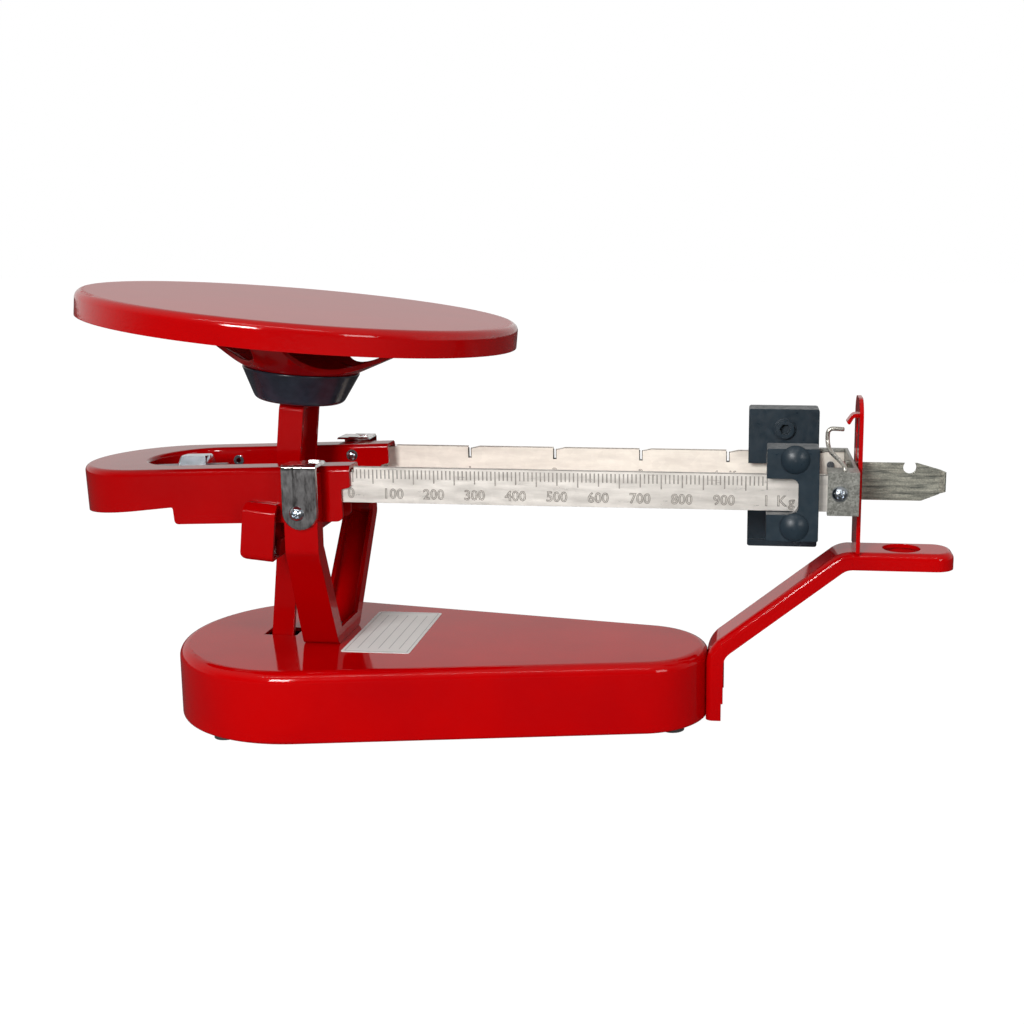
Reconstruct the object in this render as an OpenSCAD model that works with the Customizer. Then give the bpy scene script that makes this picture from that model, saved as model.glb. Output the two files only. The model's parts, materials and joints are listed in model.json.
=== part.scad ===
// Two-beam counter scale: a lever on knife-edges, a plate on a guided stem and two sliding poises.
// Working axes: X runs along the beams from the zero mark, Y points from the front beam to the
// rear beam, Z is up from the rim of the base. place() moves everything to the stored frame.

/* [Base] */
// Radius of the big end
base_big_r = 66.3; // [62:0.1:72]
// Radius of the small end
base_small_r = 36.2; // [33:0.1:40]
// Distance between the centres of the two ends
base_span = 173.9; // [168:0.1:180]
// Centre of the big end, from the zero mark
base_big_x = -37.8; // [-40:0.1:-35]
// Height of the housing
base_h = 36; // [34:0.1:40]
// Sheet thickness of the housing
base_wall = 2; // [1.5:0.1:2.5]
// Radius of the top edge
base_edge_r = 5.4; // [4:0.1:8]
// Radius of the bottom edge
base_rim_r = 1.6; // [1:0.1:3]
// Width of the in-turned rim
base_rim_w = 14; // [12:0.5:18]
// Radius of a foot
foot_r = 6; // [5:0.5:7]
// How far a foot stands below the rim
foot_drop = 2; // [1:0.5:4]

/* [Stand] */
// Sheet thickness of the stand
stand_t = 2.2; // [1.8:0.1:2.6]
// Depth of the stand's side flanges
stand_flange = 8; // [7:0.1:8]
// Room between the yoke and the inside of an upright
stand_room = 6.3; // [6.3:0.1:8]
// Half the width of the floor between the bends
stand_floor_half = 18; // [16:0.5:21]
// Height at which an upright turns outwards
stand_crease_z = 92; // [86:0.5:96]
// Width of an upright at its top
stand_top_w = 16.5; // [15.5:0.1:17.5]
// Width of the stand at its floor
stand_foot_w = 18.7; // [18:0.1:20]
// How far the floor lies behind the uprights' heads
stand_rake = 3.2; // [3:0.1:5]
// Radius of the stand's bends
stand_bend_r = 5; // [4:0.5:7]

/* [Pivots] */
// Fulcrum, from the zero mark
fulcrum_x = -21; // [-22:0.1:-20.5]
// Height of the fulcrum's edge
fulcrum_z = 124.8; // [124:0.1:125.5]
// Distance from the fulcrum to the load pivot along the beam
load_arm = 23.5; // [23:0.1:25]
// How far the load pivot lies below the fulcrum
load_drop = 15.3; // [14.8:0.1:15.6]
// Radius of the pivot pins
pivot_r = 2.4; // [2:0.1:2.6]
// Gap between a knife-edge and its bearing
edge_gap = 0.05; // [0.02:0.01:0.1]
// Length of the stem from the load pivot to the check link
stem_tail_len = 100; // [98:0.5:101]
// Lean of the stem
platform_lean = 5.7; // [4:0.1:6.5]

/* [Yoke] */
// Half the outside width of the yoke
yoke_half = 42; // [41.5:0.1:42]
// Width of an arm
yoke_arm_w = 15; // [13:0.5:16]
// Sheet thickness of the yoke
yoke_t = 1.8; // [1.5:0.1:2]
// Centre of the round end, from the zero mark
yoke_round_x = -109.2; // [-112:0.1:-106]
// Centre of the opening's round end
yoke_open_x = -91; // [-94:0.5:-89]
// Height of the top face above the zero mark
yoke_top_z = 133.7; // [133.4:0.1:133.9]
// Slope of the yoke
yoke_slope = 2.2; // [1.5:0.05:2.3]
// Depth of the arms
yoke_depth = 27.2; // [26.5:0.1:28]
// Depth where the arms meet the round end
yoke_neck_depth = 18.7; // [18:0.1:20]
// Depth at the far left
yoke_nose_depth = 23.6; // [22:0.1:25]
// Edge radius of the yoke
yoke_edge_r = 3; // [2:0.1:4]
// Right end of the arms, from the zero mark
yoke_end_x = -1.4; // [-2:0.1:-1]

/* [Beams] */
// Outer face of each beam, from the middle
beam_face = 40.2; // [39.8:0.1:40.2]
// Thickness of a beam
beam_t = 2; // [1.6:0.1:2.4]
// Underside of both beams
beam_low_z = 115.6; // [115:0.1:116]
// Top edge of the front beam
front_beam_z = 133.2; // [132.6:0.1:133.6]
// Top edge of the rear beam
rear_beam_z = 131.4; // [131:0.1:132]
// Right end of both beams
beam_end_x = 241.2; // [239:0.1:242]
// Distance between notches, one for each kilogram
notch_pitch = 46.4; // [46:0.1:46.6]
// First notch on the open length of the rear beam
notch_first_x = 40.8; // [40.2:0.1:41]
// Width of a notch
notch_w = 1.8; // [1.6:0.1:2.2]
// Depth of a notch
notch_depth = 6.4; // [5:0.1:7]

/* [Poises] */
// Length of the graduated scale
scale_len = 200; // [198:0.5:202]
// Depth of both poises across the beam
poise_depth = 17; // [15:0.5:17]
// Thickness of the back plate of a poise
poise_back_t = 7.2; // [6:0.1:7.4]
// Clearance round a beam in a poise
poise_gap = 0.3; // [0.2:0.05:0.4]
// Width of the front poise
front_poise_w = 24.3; // [23:0.1:25]
// Top of the front poise
front_poise_top = 146.5; // [145:0.1:148]
// Bottom of the front poise
front_poise_low = 102.6; // [101:0.1:104]
// Width of the column beside the front window
front_poise_post = 9.4; // [8:0.1:11]
// Left face of the rear poise
rear_poise_x = 190.8; // [190.4:0.1:191.2]
// Width of the rear poise
rear_poise_w = 36.6; // [36:0.1:37]
// Top of the rear poise
rear_poise_top = 154.6; // [153:0.1:156]
// Bottom of the rear poise
rear_poise_low = 81.5; // [80:0.1:84]
// Radius of the dome rivets
dome_r = 6.8; // [6:0.1:7.2]

/* [Guard] */
// Width of the guard arm
arm_w = 27; // [25:0.5:29]
// Depth of the guard arm
arm_depth = 8.6; // [8:0.1:9.5]
// Sheet thickness of the guard arm
arm_t = 2; // [1.6:0.1:2.4]
// Edge radius of the guard arm
arm_edge_r = 3.4; // [3:0.1:4]
// Rise angle of the guard arm
arm_angle = 38.1; // [37:0.1:39]
// Top face of the guard arm
arm_top_z = 89.2; // [88:0.1:90]
// Right end of the guard arm
arm_end_x = 293.4; // [290:0.1:297]
// Radius of the lower bend
arm_bend_low = 16.5; // [14:0.5:18]
// Radius of the upper bend
arm_bend_high = 16; // [14:0.5:18]
// Radius of the thumb hole
thumb_r = 9.5; // [8:0.1:10]
// Left face of the guard plate
guard_x = 244.3; // [244.1:0.1:245]
// Thickness of the guard plate
guard_t = 2; // [1.6:0.1:2.4]
// Width of the guard plate
guard_w = 30; // [26:0.5:32]
// Top of the guard plate
guard_top_z = 165.6; // [163:0.1:168]

/* [Platform] */
// Radius of the plate
plate_r = 108; // [104:0.5:110]
// Height of the plate's rim
plate_rim_h = 12.4; // [11:0.1:14]
// Sheet thickness of the plate
plate_t = 1.6; // [1.4:0.1:2]
// Edge radius of the plate
plate_edge_r = 4; // [3:0.1:5]
// Top of the plate, from the load pivot along the stem
plate_s = 100.4; // [99:0.1:102]
// Bottom of the cup, from the load pivot
cup_s = 51; // [50:0.1:52]
// Height of the cup
cup_h = 16.4; // [16:0.1:17.5]
// Radius of the cup at its foot
cup_low_r = 21.9; // [21:0.1:23]
// Radius of the cup at its rim
cup_top_r = 29.6; // [28.5:0.1:30.5]
// Width of the stem strap
strap_w = 12.5; // [12:0.1:13]
// Thickness of the stem strap
strap_t = 2.5; // [2:0.1:3]
// Half the outside width of the stem
strap_half = 13; // [12:0.5:14]

/* [Hidden] */

$fn = 48;
bend_steps = 5;
far = 400;
eps = 0.01;

red = [0.72, 0.02, 0.03];
navy = [0.15, 0.19, 0.22];
zinc = [0.72, 0.74, 0.75];
steel = [0.55, 0.56, 0.58];
nickel = [0.78, 0.77, 0.76];
black = [0.1, 0.1, 0.12];
paper = [0.86, 0.86, 0.84];

// The stored frame: middle of the outline on the surface that the feet stand on.
yoke_left_x = (yoke_round_x - yoke_half) * cos(yoke_slope) + yoke_edge_r * sin(yoke_slope);
x_mid = (yoke_left_x + arm_end_x) / 2;

load_x = fulcrum_x - load_arm;
load_z = fulcrum_z - load_drop;
tail_dx = -stem_tail_len * sin(platform_lean);
tail_dz = -stem_tail_len * cos(platform_lean);
anchor_x = fulcrum_x + tail_dx;
anchor_z = fulcrum_z + tail_dz;

pin_fit = 0.05;
stand_half = yoke_half + stand_room + stand_t;
// A knife starts this far outside the yoke and ends short of the upright.
knife_from = yoke_half + 0.3;
knife_end_gap = 0.6;
knife_len = yoke_half + stand_room - knife_end_gap - knife_from;

// ---- shared shapes ----

module place() {
    translate([-x_mid, 0, foot_drop]) children();
}

// Both sides of the middle plane.
module both() {
    children();
    mirror([0, 1, 0]) children();
}

// The yoke's own frame: X along the arms, Z = 0 on its top face.
module in_yoke() {
    place() translate([0, 0, yoke_top_z]) rotate([0, -yoke_slope, 0]) children();
}

// The support's own frame: the load pivot at the origin, Z up the leaning stem.
module in_support() {
    place() translate([load_x, 0, load_z]) rotate([0, platform_lean, 0]) children();
}

// A flat outline in X and Z, given a thickness along Y from y0.
module slab_xz(y0, t) {
    translate([0, y0 + t, 0]) rotate([90, 0, 0]) linear_extrude(t) children();
}

// A flat outline in Y and Z, given a thickness along X from x0.
module slab_yz(x0, t) {
    translate([x0, 0, 0]) rotate([90, 0, 90]) linear_extrude(t) children();
}

// A round bar along Y.
module bar_y(x, z, y0, len, r) {
    translate([x, y0 + len, z]) rotate([90, 0, 0]) cylinder(h = len, r = r);
}

// A round bar along X.
module bar_x(x0, y, z, len, r) {
    translate([x0, y, z]) rotate([0, 90, 0]) cylinder(h = len, r = r);
}

function unit(v) = v / norm(v);
function flat(p) = [p[0], p[1]];
function turn(a) = a > 180 ? a - 360 : a < -180 ? a + 360 : a;

// The points of one corner: the corner itself, or an arc of radius r.
function corner(a, b, c, r) =
    r <= 0 ? [b] :
    let (
        u = unit(a - b),
        v = unit(c - b),
        half = acos(u * v) / 2,
        mid = b + unit(u + v) * r / sin(half),
        from = b + u * r / tan(half) - mid,
        to = b + v * r / tan(half) - mid,
        a0 = atan2(from[1], from[0]),
        sweep = turn(atan2(to[1], to[0]) - a0)
    )
    [for (i = [0:bend_steps]) mid + r * [cos(a0 + sweep * i / bend_steps), sin(a0 + sweep * i / bend_steps)]];

// An outline whose points are [x, y, radius].
function rounded(pts) =
    let (n = len(pts))
    [for (i = [0:n - 1]) each corner(flat(pts[(i + n - 1) % n]), flat(pts[i]), flat(pts[(i + 1) % n]), pts[i][2])];

function meet(p, u, q, v) =
    let (d = q - p, k = (d[0] * v[1] - d[1] * v[0]) / (u[0] * v[1] - u[1] * v[0]))
    p + k * u;

// The same outline, taken in by d. Points run anticlockwise.
function inset(pts, d) =
    let (n = len(pts))
    [for (i = [0:n - 1])
        let (
            a = flat(pts[(i + n - 1) % n]),
            b = flat(pts[i]),
            c = flat(pts[(i + 1) % n]),
            u = unit(b - a),
            v = unit(c - b),
            m = meet(a + d * [-u[1], u[0]], u, b + d * [-v[1], v[0]], v),
            side = u[0] * v[1] - u[1] * v[0] > 0 ? -1 : 1
        )
        [m[0], m[1], pts[i][2] > 0 ? max(pts[i][2] + side * d, 0.1) : 0]];

module outline(pts) {
    polygon(rounded(pts));
}

// The half section of a round cushion: height h, top edge radius er, bottom edge radius br.
module edge_section(w, h, er, br) {
    translate([0, br]) square([w, h - er - br]);
    square([w - br, h - er]);
    square([w - er, h]);
    if (er > 0) translate([w - er, h - er]) circle(r = er);
    if (br > 0) translate([w - br, br]) circle(r = br);
}

// The straight sides of a cushion lie this far inside the line that touches its circles,
// and their edges are this much sharper, so that no two round faces merely graze each other.
side_sink = 0.02;
sharper = 0.01;
core_share = 0.25;

// A solid with flat faces and rounded edges round a row of circles [x, y, r], anticlockwise.
module cushion(rings, h, er, br = 0) {
    n = len(rings);
    tangents = [for (i = [0:n - 1])
        let (
            p = rings[i],
            q = rings[(i + 1) % n],
            d = flat(q) - flat(p),
            a = atan2(d[1], d[0]) - 90 + asin((p[2] - q[2]) / norm(d))
        )
        [cos(a), sin(a)]];
    keep = max(er, br);
    core_gap = core_share * keep;
    union() {
        for (c = rings) {
            translate([c[0], c[1], 0]) rotate_extrude() intersection() {
                edge_section(c[2], h, er, br);
                square([far, far]);
            }
        }
        for (i = [0:n - 1]) {
            p = rings[i];
            q = rings[(i + 1) % n];
            t = tangents[i];
            from = flat(p) + (p[2] - keep - side_sink) * t;
            len_i = norm(flat(q) + q[2] * t - flat(p) - p[2] * t);
            translate([from[0], from[1], 0]) rotate([0, 0, atan2(t[1], t[0])]) rotate([90, 0, 0])
                translate([-keep / 2, 0, -len_i]) linear_extrude(len_i)
                    edge_section(keep * 1.5, h, max(er - sharper, 0), max(br - sharper, 0));
        }
        linear_extrude(h) polygon([for (i = [0:n - 1]) each [
            flat(rings[i]) + (rings[i][2] - keep - core_gap) * tangents[i],
            flat(rings[(i + 1) % n]) + (rings[(i + 1) % n][2] - keep - core_gap) * tangents[i]
        ]]);
    }
}

// The same rings, each radius smaller by d.
function shrink(rings, d) = [for (c = rings) [c[0], c[1], c[2] - d]];

// A pan or domed screw head on the outside of a face, axis along +Z.
module pan_head(r, h) {
    ball = (r * r + h * h) / (2 * h);
    intersection() {
        translate([0, 0, h - ball]) sphere(r = ball);
        cylinder(h = h, r = r);
    }
}

module pan_screw(head_r, head_h, shank_r, shank_len) {
    pan_head(head_r, head_h);
    translate([0, 0, -shank_len]) cylinder(h = shank_len + head_h / 4, r = shank_r);
}

// ---- base ----

base_rings = [[base_big_x, 0, base_big_r], [base_big_x + base_span, 0, base_small_r]];
// The small end is flattened here, where the guard arm is bolted on.
end_flat = 1;
base_end_x = base_big_x + base_span + base_small_r - end_flat;

slot_gap = 0.6;
tail_y = -4.2;
tail_t = 2.4;
tail_w = 11.5;
slot_x0 = load_x + tail_dx - 7.5;
slot_x1 = load_x + 0.3;
slot_y0 = tail_y - slot_gap;
slot_y1 = 9;

head_x = fulcrum_x - 2.2;
stand_mid_x = head_x - stand_rake;
stand_screw_y = 9;
screw_r = 2;
screw_fit = 0.15;

bolt_z = [11, 24.5];
bolt_r = 2.5;

foot_in = base_rim_w / 2 + 1;
foot_places = [for (side = [-1, 1]) each [
    [base_big_x + (base_big_r - foot_in) * cos(118), side * (base_big_r - foot_in) * sin(118)],
    [base_big_x + base_span + (base_small_r - foot_in) * cos(48), side * (base_small_r - foot_in) * sin(48)]
]];
foot_stem_r = 3;

// The opening inside the in-turned rim, as a prism.
module rim_opening(h) {
    rings = shrink(base_rings, base_rim_w);
    a = asin((rings[0][2] - rings[1][2]) / base_span);
    linear_extrude(h) union() {
        for (c = rings) translate([c[0], c[1]]) circle(r = c[2]);
        polygon([for (s = [-1, 1]) for (c = (s < 0 ? rings : [rings[1], rings[0]]))
            [c[0] + c[2] * sin(a), s * c[2] * cos(a)]]);
    }
}

module base_solid(d) {
    cushion(shrink(base_rings, d), base_h - d, base_edge_r - d, d > 0 ? 0 : base_rim_r);
}

module base_housing() color(red) place() {
    difference() {
        base_solid(0);
        difference() {
            base_solid(base_wall);
            translate([-far / 2, -far / 2, -eps]) cube([far, far, base_wall + eps]);
            translate([base_end_x - base_wall, -far / 2, -eps]) cube([far, far, far]);
        }
        translate([base_end_x, -far / 2, -eps]) cube([far, far, far]);
        translate([0, 0, -eps]) rim_opening(base_wall + 2 * eps);
        translate([slot_x0, slot_y0, base_h / 2]) cube([slot_x1 - slot_x0, slot_y1 - slot_y0, base_h]);
        for (y = [-stand_screw_y, stand_screw_y])
            translate([stand_mid_x, y, base_h / 2]) cylinder(h = base_h, r = screw_r + screw_fit);
        for (z = bolt_z) bar_x(base_end_x - 2 * base_wall, 0, z, 4 * base_wall, bolt_r + screw_fit);
        for (p = foot_places) translate([p[0], p[1], -eps]) cylinder(h = base_wall + 2 * eps, r = foot_stem_r);
    }
}

module rubber_feet() color(black) place() {
    for (p = foot_places) translate([p[0], p[1], 0]) {
        translate([0, 0, -foot_drop]) cylinder(h = foot_drop, r = foot_r);
        cylinder(h = base_wall, r = foot_stem_r);
        translate([0, 0, base_wall]) cylinder(h = 1.5, r = foot_stem_r + 1.2);
    }
}

label_x = -13;
label_y = -29.5;
label_w = 35.5;
label_l = 72;
label_t = 0.2;

module blank_label() color(paper) place() {
    translate([label_x, label_y, base_h]) linear_extrude(label_t) outline([
        [0, 0, 1.5], [label_w, 0, 1.5], [label_w, label_l, 1.5], [0, label_l, 1.5]
    ]);
}

// ---- stand and its bearings ----

stand_top_z = fulcrum_z + 6.2;

// Outline of the stand in Y and Z, anticlockwise from the top of the rear upright.
function stirrup(top) = [
    [stand_half, top, 0],
    [-stand_half, top, 0],
    [-stand_half, stand_crease_z, stand_bend_r],
    [-stand_floor_half, base_h, stand_bend_r],
    [stand_floor_half, base_h, stand_bend_r],
    [stand_half, stand_crease_z, stand_bend_r]
];

// Outline of the stand in X and Z.
stand_side = [
    [stand_mid_x - stand_foot_w / 2, base_h],
    [stand_mid_x + stand_foot_w / 2, base_h],
    [head_x + stand_top_w / 2, stand_crease_z],
    [head_x + stand_top_w / 2, stand_top_z],
    [head_x - stand_top_w / 2, stand_top_z],
    [head_x - stand_top_w / 2, stand_crease_z]
];

module stirrup_band(depth) {
    slab_yz(-far / 2, far) difference() {
        outline(stirrup(stand_top_z));
        outline(inset(stirrup(stand_top_z + 4 * stand_flange), depth));
    }
}

module stand() color(red) place() {
    difference() {
        union() {
            intersection() {
                stirrup_band(stand_t);
                slab_xz(-far / 2, far) polygon(stand_side);
            }
            intersection() {
                stirrup_band(stand_flange);
                slab_xz(-far / 2, far) difference() {
                    polygon(stand_side);
                    translate([stand_t, 0]) intersection() {
                        polygon(stand_side);
                        translate([-2 * stand_t, 0]) polygon(stand_side);
                    }
                }
            }
        }
        for (y = [-stand_screw_y, stand_screw_y])
            translate([stand_mid_x, y, base_h - eps]) cylinder(h = 2 * stand_t, r = screw_r + screw_fit);
        both() bar_y(cap_screw_x, cap_screw_z, -stand_half - eps, stand_t + 2 * eps, screw_r);
    }
}

module stand_screws() color(steel) place() {
    for (y = [-stand_screw_y, stand_screw_y]) translate([stand_mid_x, y, base_h + stand_t])
        pan_screw(3.6, 2.2, screw_r, stand_t + base_wall + anchor_t + 2.4);
    for (y = [-stand_screw_y, stand_screw_y]) translate([stand_mid_x, y, base_h - base_wall - anchor_t - 2.2])
        difference() {
            cylinder(h = 2.2, r = 3.8, $fn = 6);
            translate([0, 0, -eps]) cylinder(h = 3, r = screw_r);
        }
}

bearing_w = 7.4;
bearing_h = 9.6;

// A V block along Y with its groove's edge at the origin, opening upwards.
module v_block(w, up, down, y0, t) {
    slab_xz(y0, t) difference() {
        translate([-w / 2, -down]) square([w, down + up]);
        polygon([[0, -edge_gap], [up + 1, up + 1 - edge_gap], [-up - 1, up + 1 - edge_gap]]);
    }
}

module fulcrum_bearings() color(steel) place() {
    both() translate([fulcrum_x, 0, fulcrum_z])
        v_block(bearing_w, 2.4, bearing_h, knife_from + 0.4, stand_half - stand_t - knife_from - 0.4);
}

cap_t = 1.5;
cap_w = 18;
cap_low_z = 103.3;
cap_top_z = yoke_top_z + 1.8;
cap_reach = 14.5;
cap_screw_x = head_x - 1.4;
cap_screw_z = 111.8;
cap_lug_w = 5;

// A cap: a tongue-shaped plate on the upright and a flange over the pivot.
module cap_solid() {
    face = stand_half + cap_t;
    slab_xz(stand_half, cap_t) difference() {
        union() {
            translate([head_x, cap_low_z + cap_w / 2]) circle(r = cap_w / 2);
            translate([head_x - cap_w / 2, cap_low_z + cap_w / 2])
                square([cap_w, cap_top_z - cap_low_z - cap_w / 2 - cap_t / 2]);
        }
        translate([cap_screw_x, cap_screw_z]) circle(r = screw_r + screw_fit);
    }
    translate([head_x - cap_w / 2, face - cap_reach, cap_top_z - cap_t]) difference() {
        cube([cap_w, cap_reach - cap_t / 2, cap_t]);
        translate([cap_w - 2 - cap_lug_w, 4, -eps]) cube([cap_lug_w, 1.6, cap_t + 2 * eps]);
    }
    bar_x(head_x - cap_w / 2, face - cap_t / 2, cap_top_z - cap_t / 2, cap_w, cap_t / 2);
    translate([head_x + cap_w / 2 - 2 - cap_lug_w, face - cap_reach + 2.8, cap_top_z - eps])
        cube([cap_lug_w, 1.2, 0.9]);
}

module front_bearing_cap() color(zinc) place() {
    mirror([0, 1, 0]) cap_solid();
}

module rear_bearing_cap() color(zinc) place() {
    cap_solid();
}

module cap_screws() color(zinc) place() {
    both() translate([cap_screw_x, stand_half + cap_t, cap_screw_z]) rotate([-90, 0, 0])
        pan_screw(3.75, 2.3, screw_r, cap_t + stand_t + 3);
}

// ---- check link in the base ----

link_t = 3;
link_y = tail_y + tail_t + 0.4;
link_w = 8;
check_pin_r = 2;
anchor_t = 2;
anchor_y = link_y + link_t + 0.4;
anchor_eye = 6;
anchor_past_screw = 7;

// A lug for the link's pin below a flat that the stand's screws hold.
module check_anchor() color(steel) place() {
    top = base_h - base_wall;
    left = anchor_x - anchor_eye;
    right = stand_mid_x + anchor_past_screw;
    flat_half = stand_screw_y + anchor_eye;
    difference() {
        union() {
            slab_xz(anchor_y, anchor_t) outline([
                [left, anchor_z - anchor_eye, 5], [anchor_x + anchor_eye, anchor_z - anchor_eye, 5],
                [right, top - anchor_t, 0], [left, top - anchor_t, 0]
            ]);
            translate([left, -flat_half, top - anchor_t]) cube([right - left, 2 * flat_half, anchor_t]);
        }
        for (y = [-stand_screw_y, stand_screw_y])
            translate([stand_mid_x, y, top - anchor_t - eps]) cylinder(h = anchor_t + 2 * eps, r = screw_r + screw_fit);
        bar_y(anchor_x, anchor_z, anchor_y - eps, anchor_t + 2 * eps, check_pin_r);
    }
}

module anchor_pin() color(steel) place() {
    bar_y(anchor_x, anchor_z, link_y, anchor_y + anchor_t - link_y, check_pin_r);
    bar_y(anchor_x, anchor_z, link_y - 1.2, 1.2, check_pin_r + 1);
}

module check_link() color(steel) place() {
    run = [-load_arm, -load_drop];
    ang = atan2(run[1], run[0]);
    difference() {
        union() {
            bar_y(anchor_x, anchor_z, link_y, link_t, link_w / 2);
            bar_y(anchor_x + run[0], anchor_z + run[1], link_y, link_t, link_w / 2);
            slab_xz(link_y, link_t) translate([anchor_x, anchor_z]) rotate(ang)
                translate([0, -link_w / 2]) square([norm(run), link_w]);
        }
        bar_y(anchor_x, anchor_z, link_y - eps, link_t + 2 * eps, check_pin_r + pin_fit);
        bar_y(anchor_x + run[0], anchor_z + run[1], link_y - eps, link_t + 2 * eps, check_pin_r);
    }
}

module tail_pin() color(steel) place() {
    x = anchor_x - load_arm;
    z = anchor_z - load_drop;
    bar_y(x, z, tail_y - 0.4, link_y + link_t - tail_y + 0.4, check_pin_r);
    bar_y(x, z, tail_y - 1.6, 1.2, check_pin_r + 1);
}

// ---- guard arm and guard plate ----

arm_section_w = arm_w / 2;

// A bend is this much thicker than a straight length, which runs into it by the lap.
bend_swell = 0.05;
bend_lap = 0.2;

// Half the channel's outline, a flat top with round shoulders, widened by g.
module channel_half(g, t) {
    w = arm_section_w - t + g;
    r = arm_edge_r - t + g;
    low = -arm_depth - g - t;
    translate([-w, low]) square([2 * w, -low - t + g - r]);
    translate([r - w, low]) square([2 * (w - r), -low - t + g]);
    for (s = [-1, 1]) translate([s * (w - r), g - t - r]) circle(r = r);
}

// The channel's section: across is X, depth is Y with the skin's outer face at 0.
module channel_section(g = 0) {
    difference() {
        channel_half(g, 0);
        channel_half(-g, arm_t);
    }
}

// A straight length of channel from the origin along X, skin upwards.
module channel_run(len) {
    translate([-bend_lap, 0, 0]) rotate([90, 0, 90]) linear_extrude(len + 2 * bend_lap) channel_section();
}

// A bend of the channel: the skin starts at the origin along X and turns down by angle.
module channel_bend(r, angle) {
    translate([0, 0, -r]) rotate([90, 0, 0]) rotate([0, 0, 90 - angle]) rotate_extrude(angle = angle, $fn = 72)
        translate([r, 0]) rotate(-90) channel_section(bend_swell);
}

// Where the skin's straight lines meet, and where the bends begin.
arm_high_x = 237.4;
arm_corner_z = arm_top_z - (arm_high_x - base_end_x) * tan(arm_angle);
low_turn = 90 - arm_angle;
low_cut = arm_bend_low * tan(low_turn / 2);
high_cut = arm_bend_high * tan(arm_angle / 2);
arm_slope_len = (arm_high_x - base_end_x) / cos(arm_angle) - low_cut - high_cut;
nose_r = 10;
thumb_x = 268;
foot_step_z = 9;

module guard_arm() color(red) place() {
    difference() {
        union() {
            translate([base_end_x, 0, 0]) rotate([0, -90, 0]) channel_run(arm_corner_z - low_cut);
            translate([base_end_x, 0, arm_corner_z - low_cut]) rotate([0, -90, 0]) channel_bend(arm_bend_low, low_turn);
            translate([base_end_x + low_cut * cos(arm_angle), 0, arm_corner_z + low_cut * sin(arm_angle)])
                rotate([0, -arm_angle, 0]) {
                    channel_run(arm_slope_len);
                    translate([arm_slope_len, 0, 0]) channel_bend(arm_bend_high, arm_angle);
                }
            intersection() {
                translate([0, 0, arm_top_z - arm_depth]) difference() {
                    arm_nose(0);
                    translate([0, 0, -eps]) arm_nose(arm_t);
                }
                translate([arm_high_x + high_cut - bend_lap, -far / 2, 0]) cube([far, far, far]);
            }
        }
        translate([thumb_x, 0, arm_top_z - 2 * arm_t]) cylinder(h = 4 * arm_t, r = thumb_r);
        translate([0, -arm_w, -far]) cube([far, 2 * arm_w, far]);
        for (z = bolt_z) bar_x(base_end_x - eps, 0, z, 2 * arm_t, bolt_r + screw_fit);
        translate([base_end_x + arm_depth - 0.9, -arm_w, -eps]) cube([arm_depth, 2 * arm_w, foot_step_z]);
    }
}

module arm_nose(d) {
    y = arm_section_w - nose_r;
    x0 = arm_high_x - nose_r;
    cushion(shrink([
        [x0, -y, nose_r], [arm_end_x - nose_r, -y, nose_r], [arm_end_x - nose_r, y, nose_r], [x0, y, nose_r]
    ], d), arm_depth - d + (d > 0 ? eps : 0), arm_edge_r - d);
}

module arm_bolts() color(steel) place() {
    for (z = bolt_z) {
        translate([base_end_x + arm_t, 0, z]) rotate([0, 90, 0])
            pan_screw(4.4, 2.6, bolt_r, arm_t + base_wall + 3.6);
        translate([base_end_x - base_wall - 3, 0, z]) rotate([0, 90, 0]) difference() {
            cylinder(h = 3, r = 4.6, $fn = 6);
            translate([0, 0, -eps]) cylinder(h = 4, r = bolt_r);
        }
    }
}

tongue_low_z = 113.8;
tongue_top_z = 132.7;
tongue_t = 1.6;
tongue_gap = 0.3;
window_low_z = tongue_low_z - tongue_gap;
window_top_z = 147;
window_w = 4.4;
hook_w = 7.6;
hook_room = 9.4;
hook_top_z = 157.4;
hook_drop = 5.6;
hook_reach = 5.4;

module guard_plate() color(red) place() {
    slab_yz(guard_x, guard_t) difference() {
        outline([
            [-guard_w / 2, arm_top_z, 0], [guard_w / 2, arm_top_z, 0],
            [guard_w / 2, guard_top_z, 10], [-guard_w / 2, guard_top_z, 10]
        ]);
        translate([-window_w / 2, window_low_z]) square([window_w, window_top_z - window_low_z + 1]);
        translate([-hook_room / 2, window_top_z]) square([hook_room, hook_top_z - guard_t - window_top_z]);
    }
    slab_xz(-hook_w / 2, hook_w) outline([
        [guard_x + eps, hook_top_z, 0],
        [guard_x - 2.4, hook_top_z, 3],
        [guard_x - hook_reach, hook_top_z - hook_drop + 1.4, 0.8],
        [guard_x - hook_reach + 1.2, hook_top_z - hook_drop - 0.6, 0.8],
        [guard_x - 1.8, hook_top_z - guard_t, 1.2],
        [guard_x + eps, hook_top_z - guard_t, 0]
    ]);
}

// ---- yoke and its fittings ----

function yoke_z(x) = yoke_top_z + x * tan(yoke_slope);

yoke_inner_r = yoke_half - yoke_arm_w;
step_z = 11.4;
step_x = 4.6;

module yoke_body(d) {
    rings = [[yoke_round_x, 0, yoke_half - d], [far / 4, 0, yoke_half - d]];
    translate([0, 0, -yoke_depth - yoke_t]) cushion(rings, yoke_depth + yoke_t - d, yoke_edge_r - d);
}

module yoke_opening(r) {
    translate([0, 0, -far / 2]) linear_extrude(far) union() {
        translate([yoke_open_x, 0]) circle(r = r);
        translate([yoke_open_x, -r]) square([far, 2 * r]);
    }
}

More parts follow.
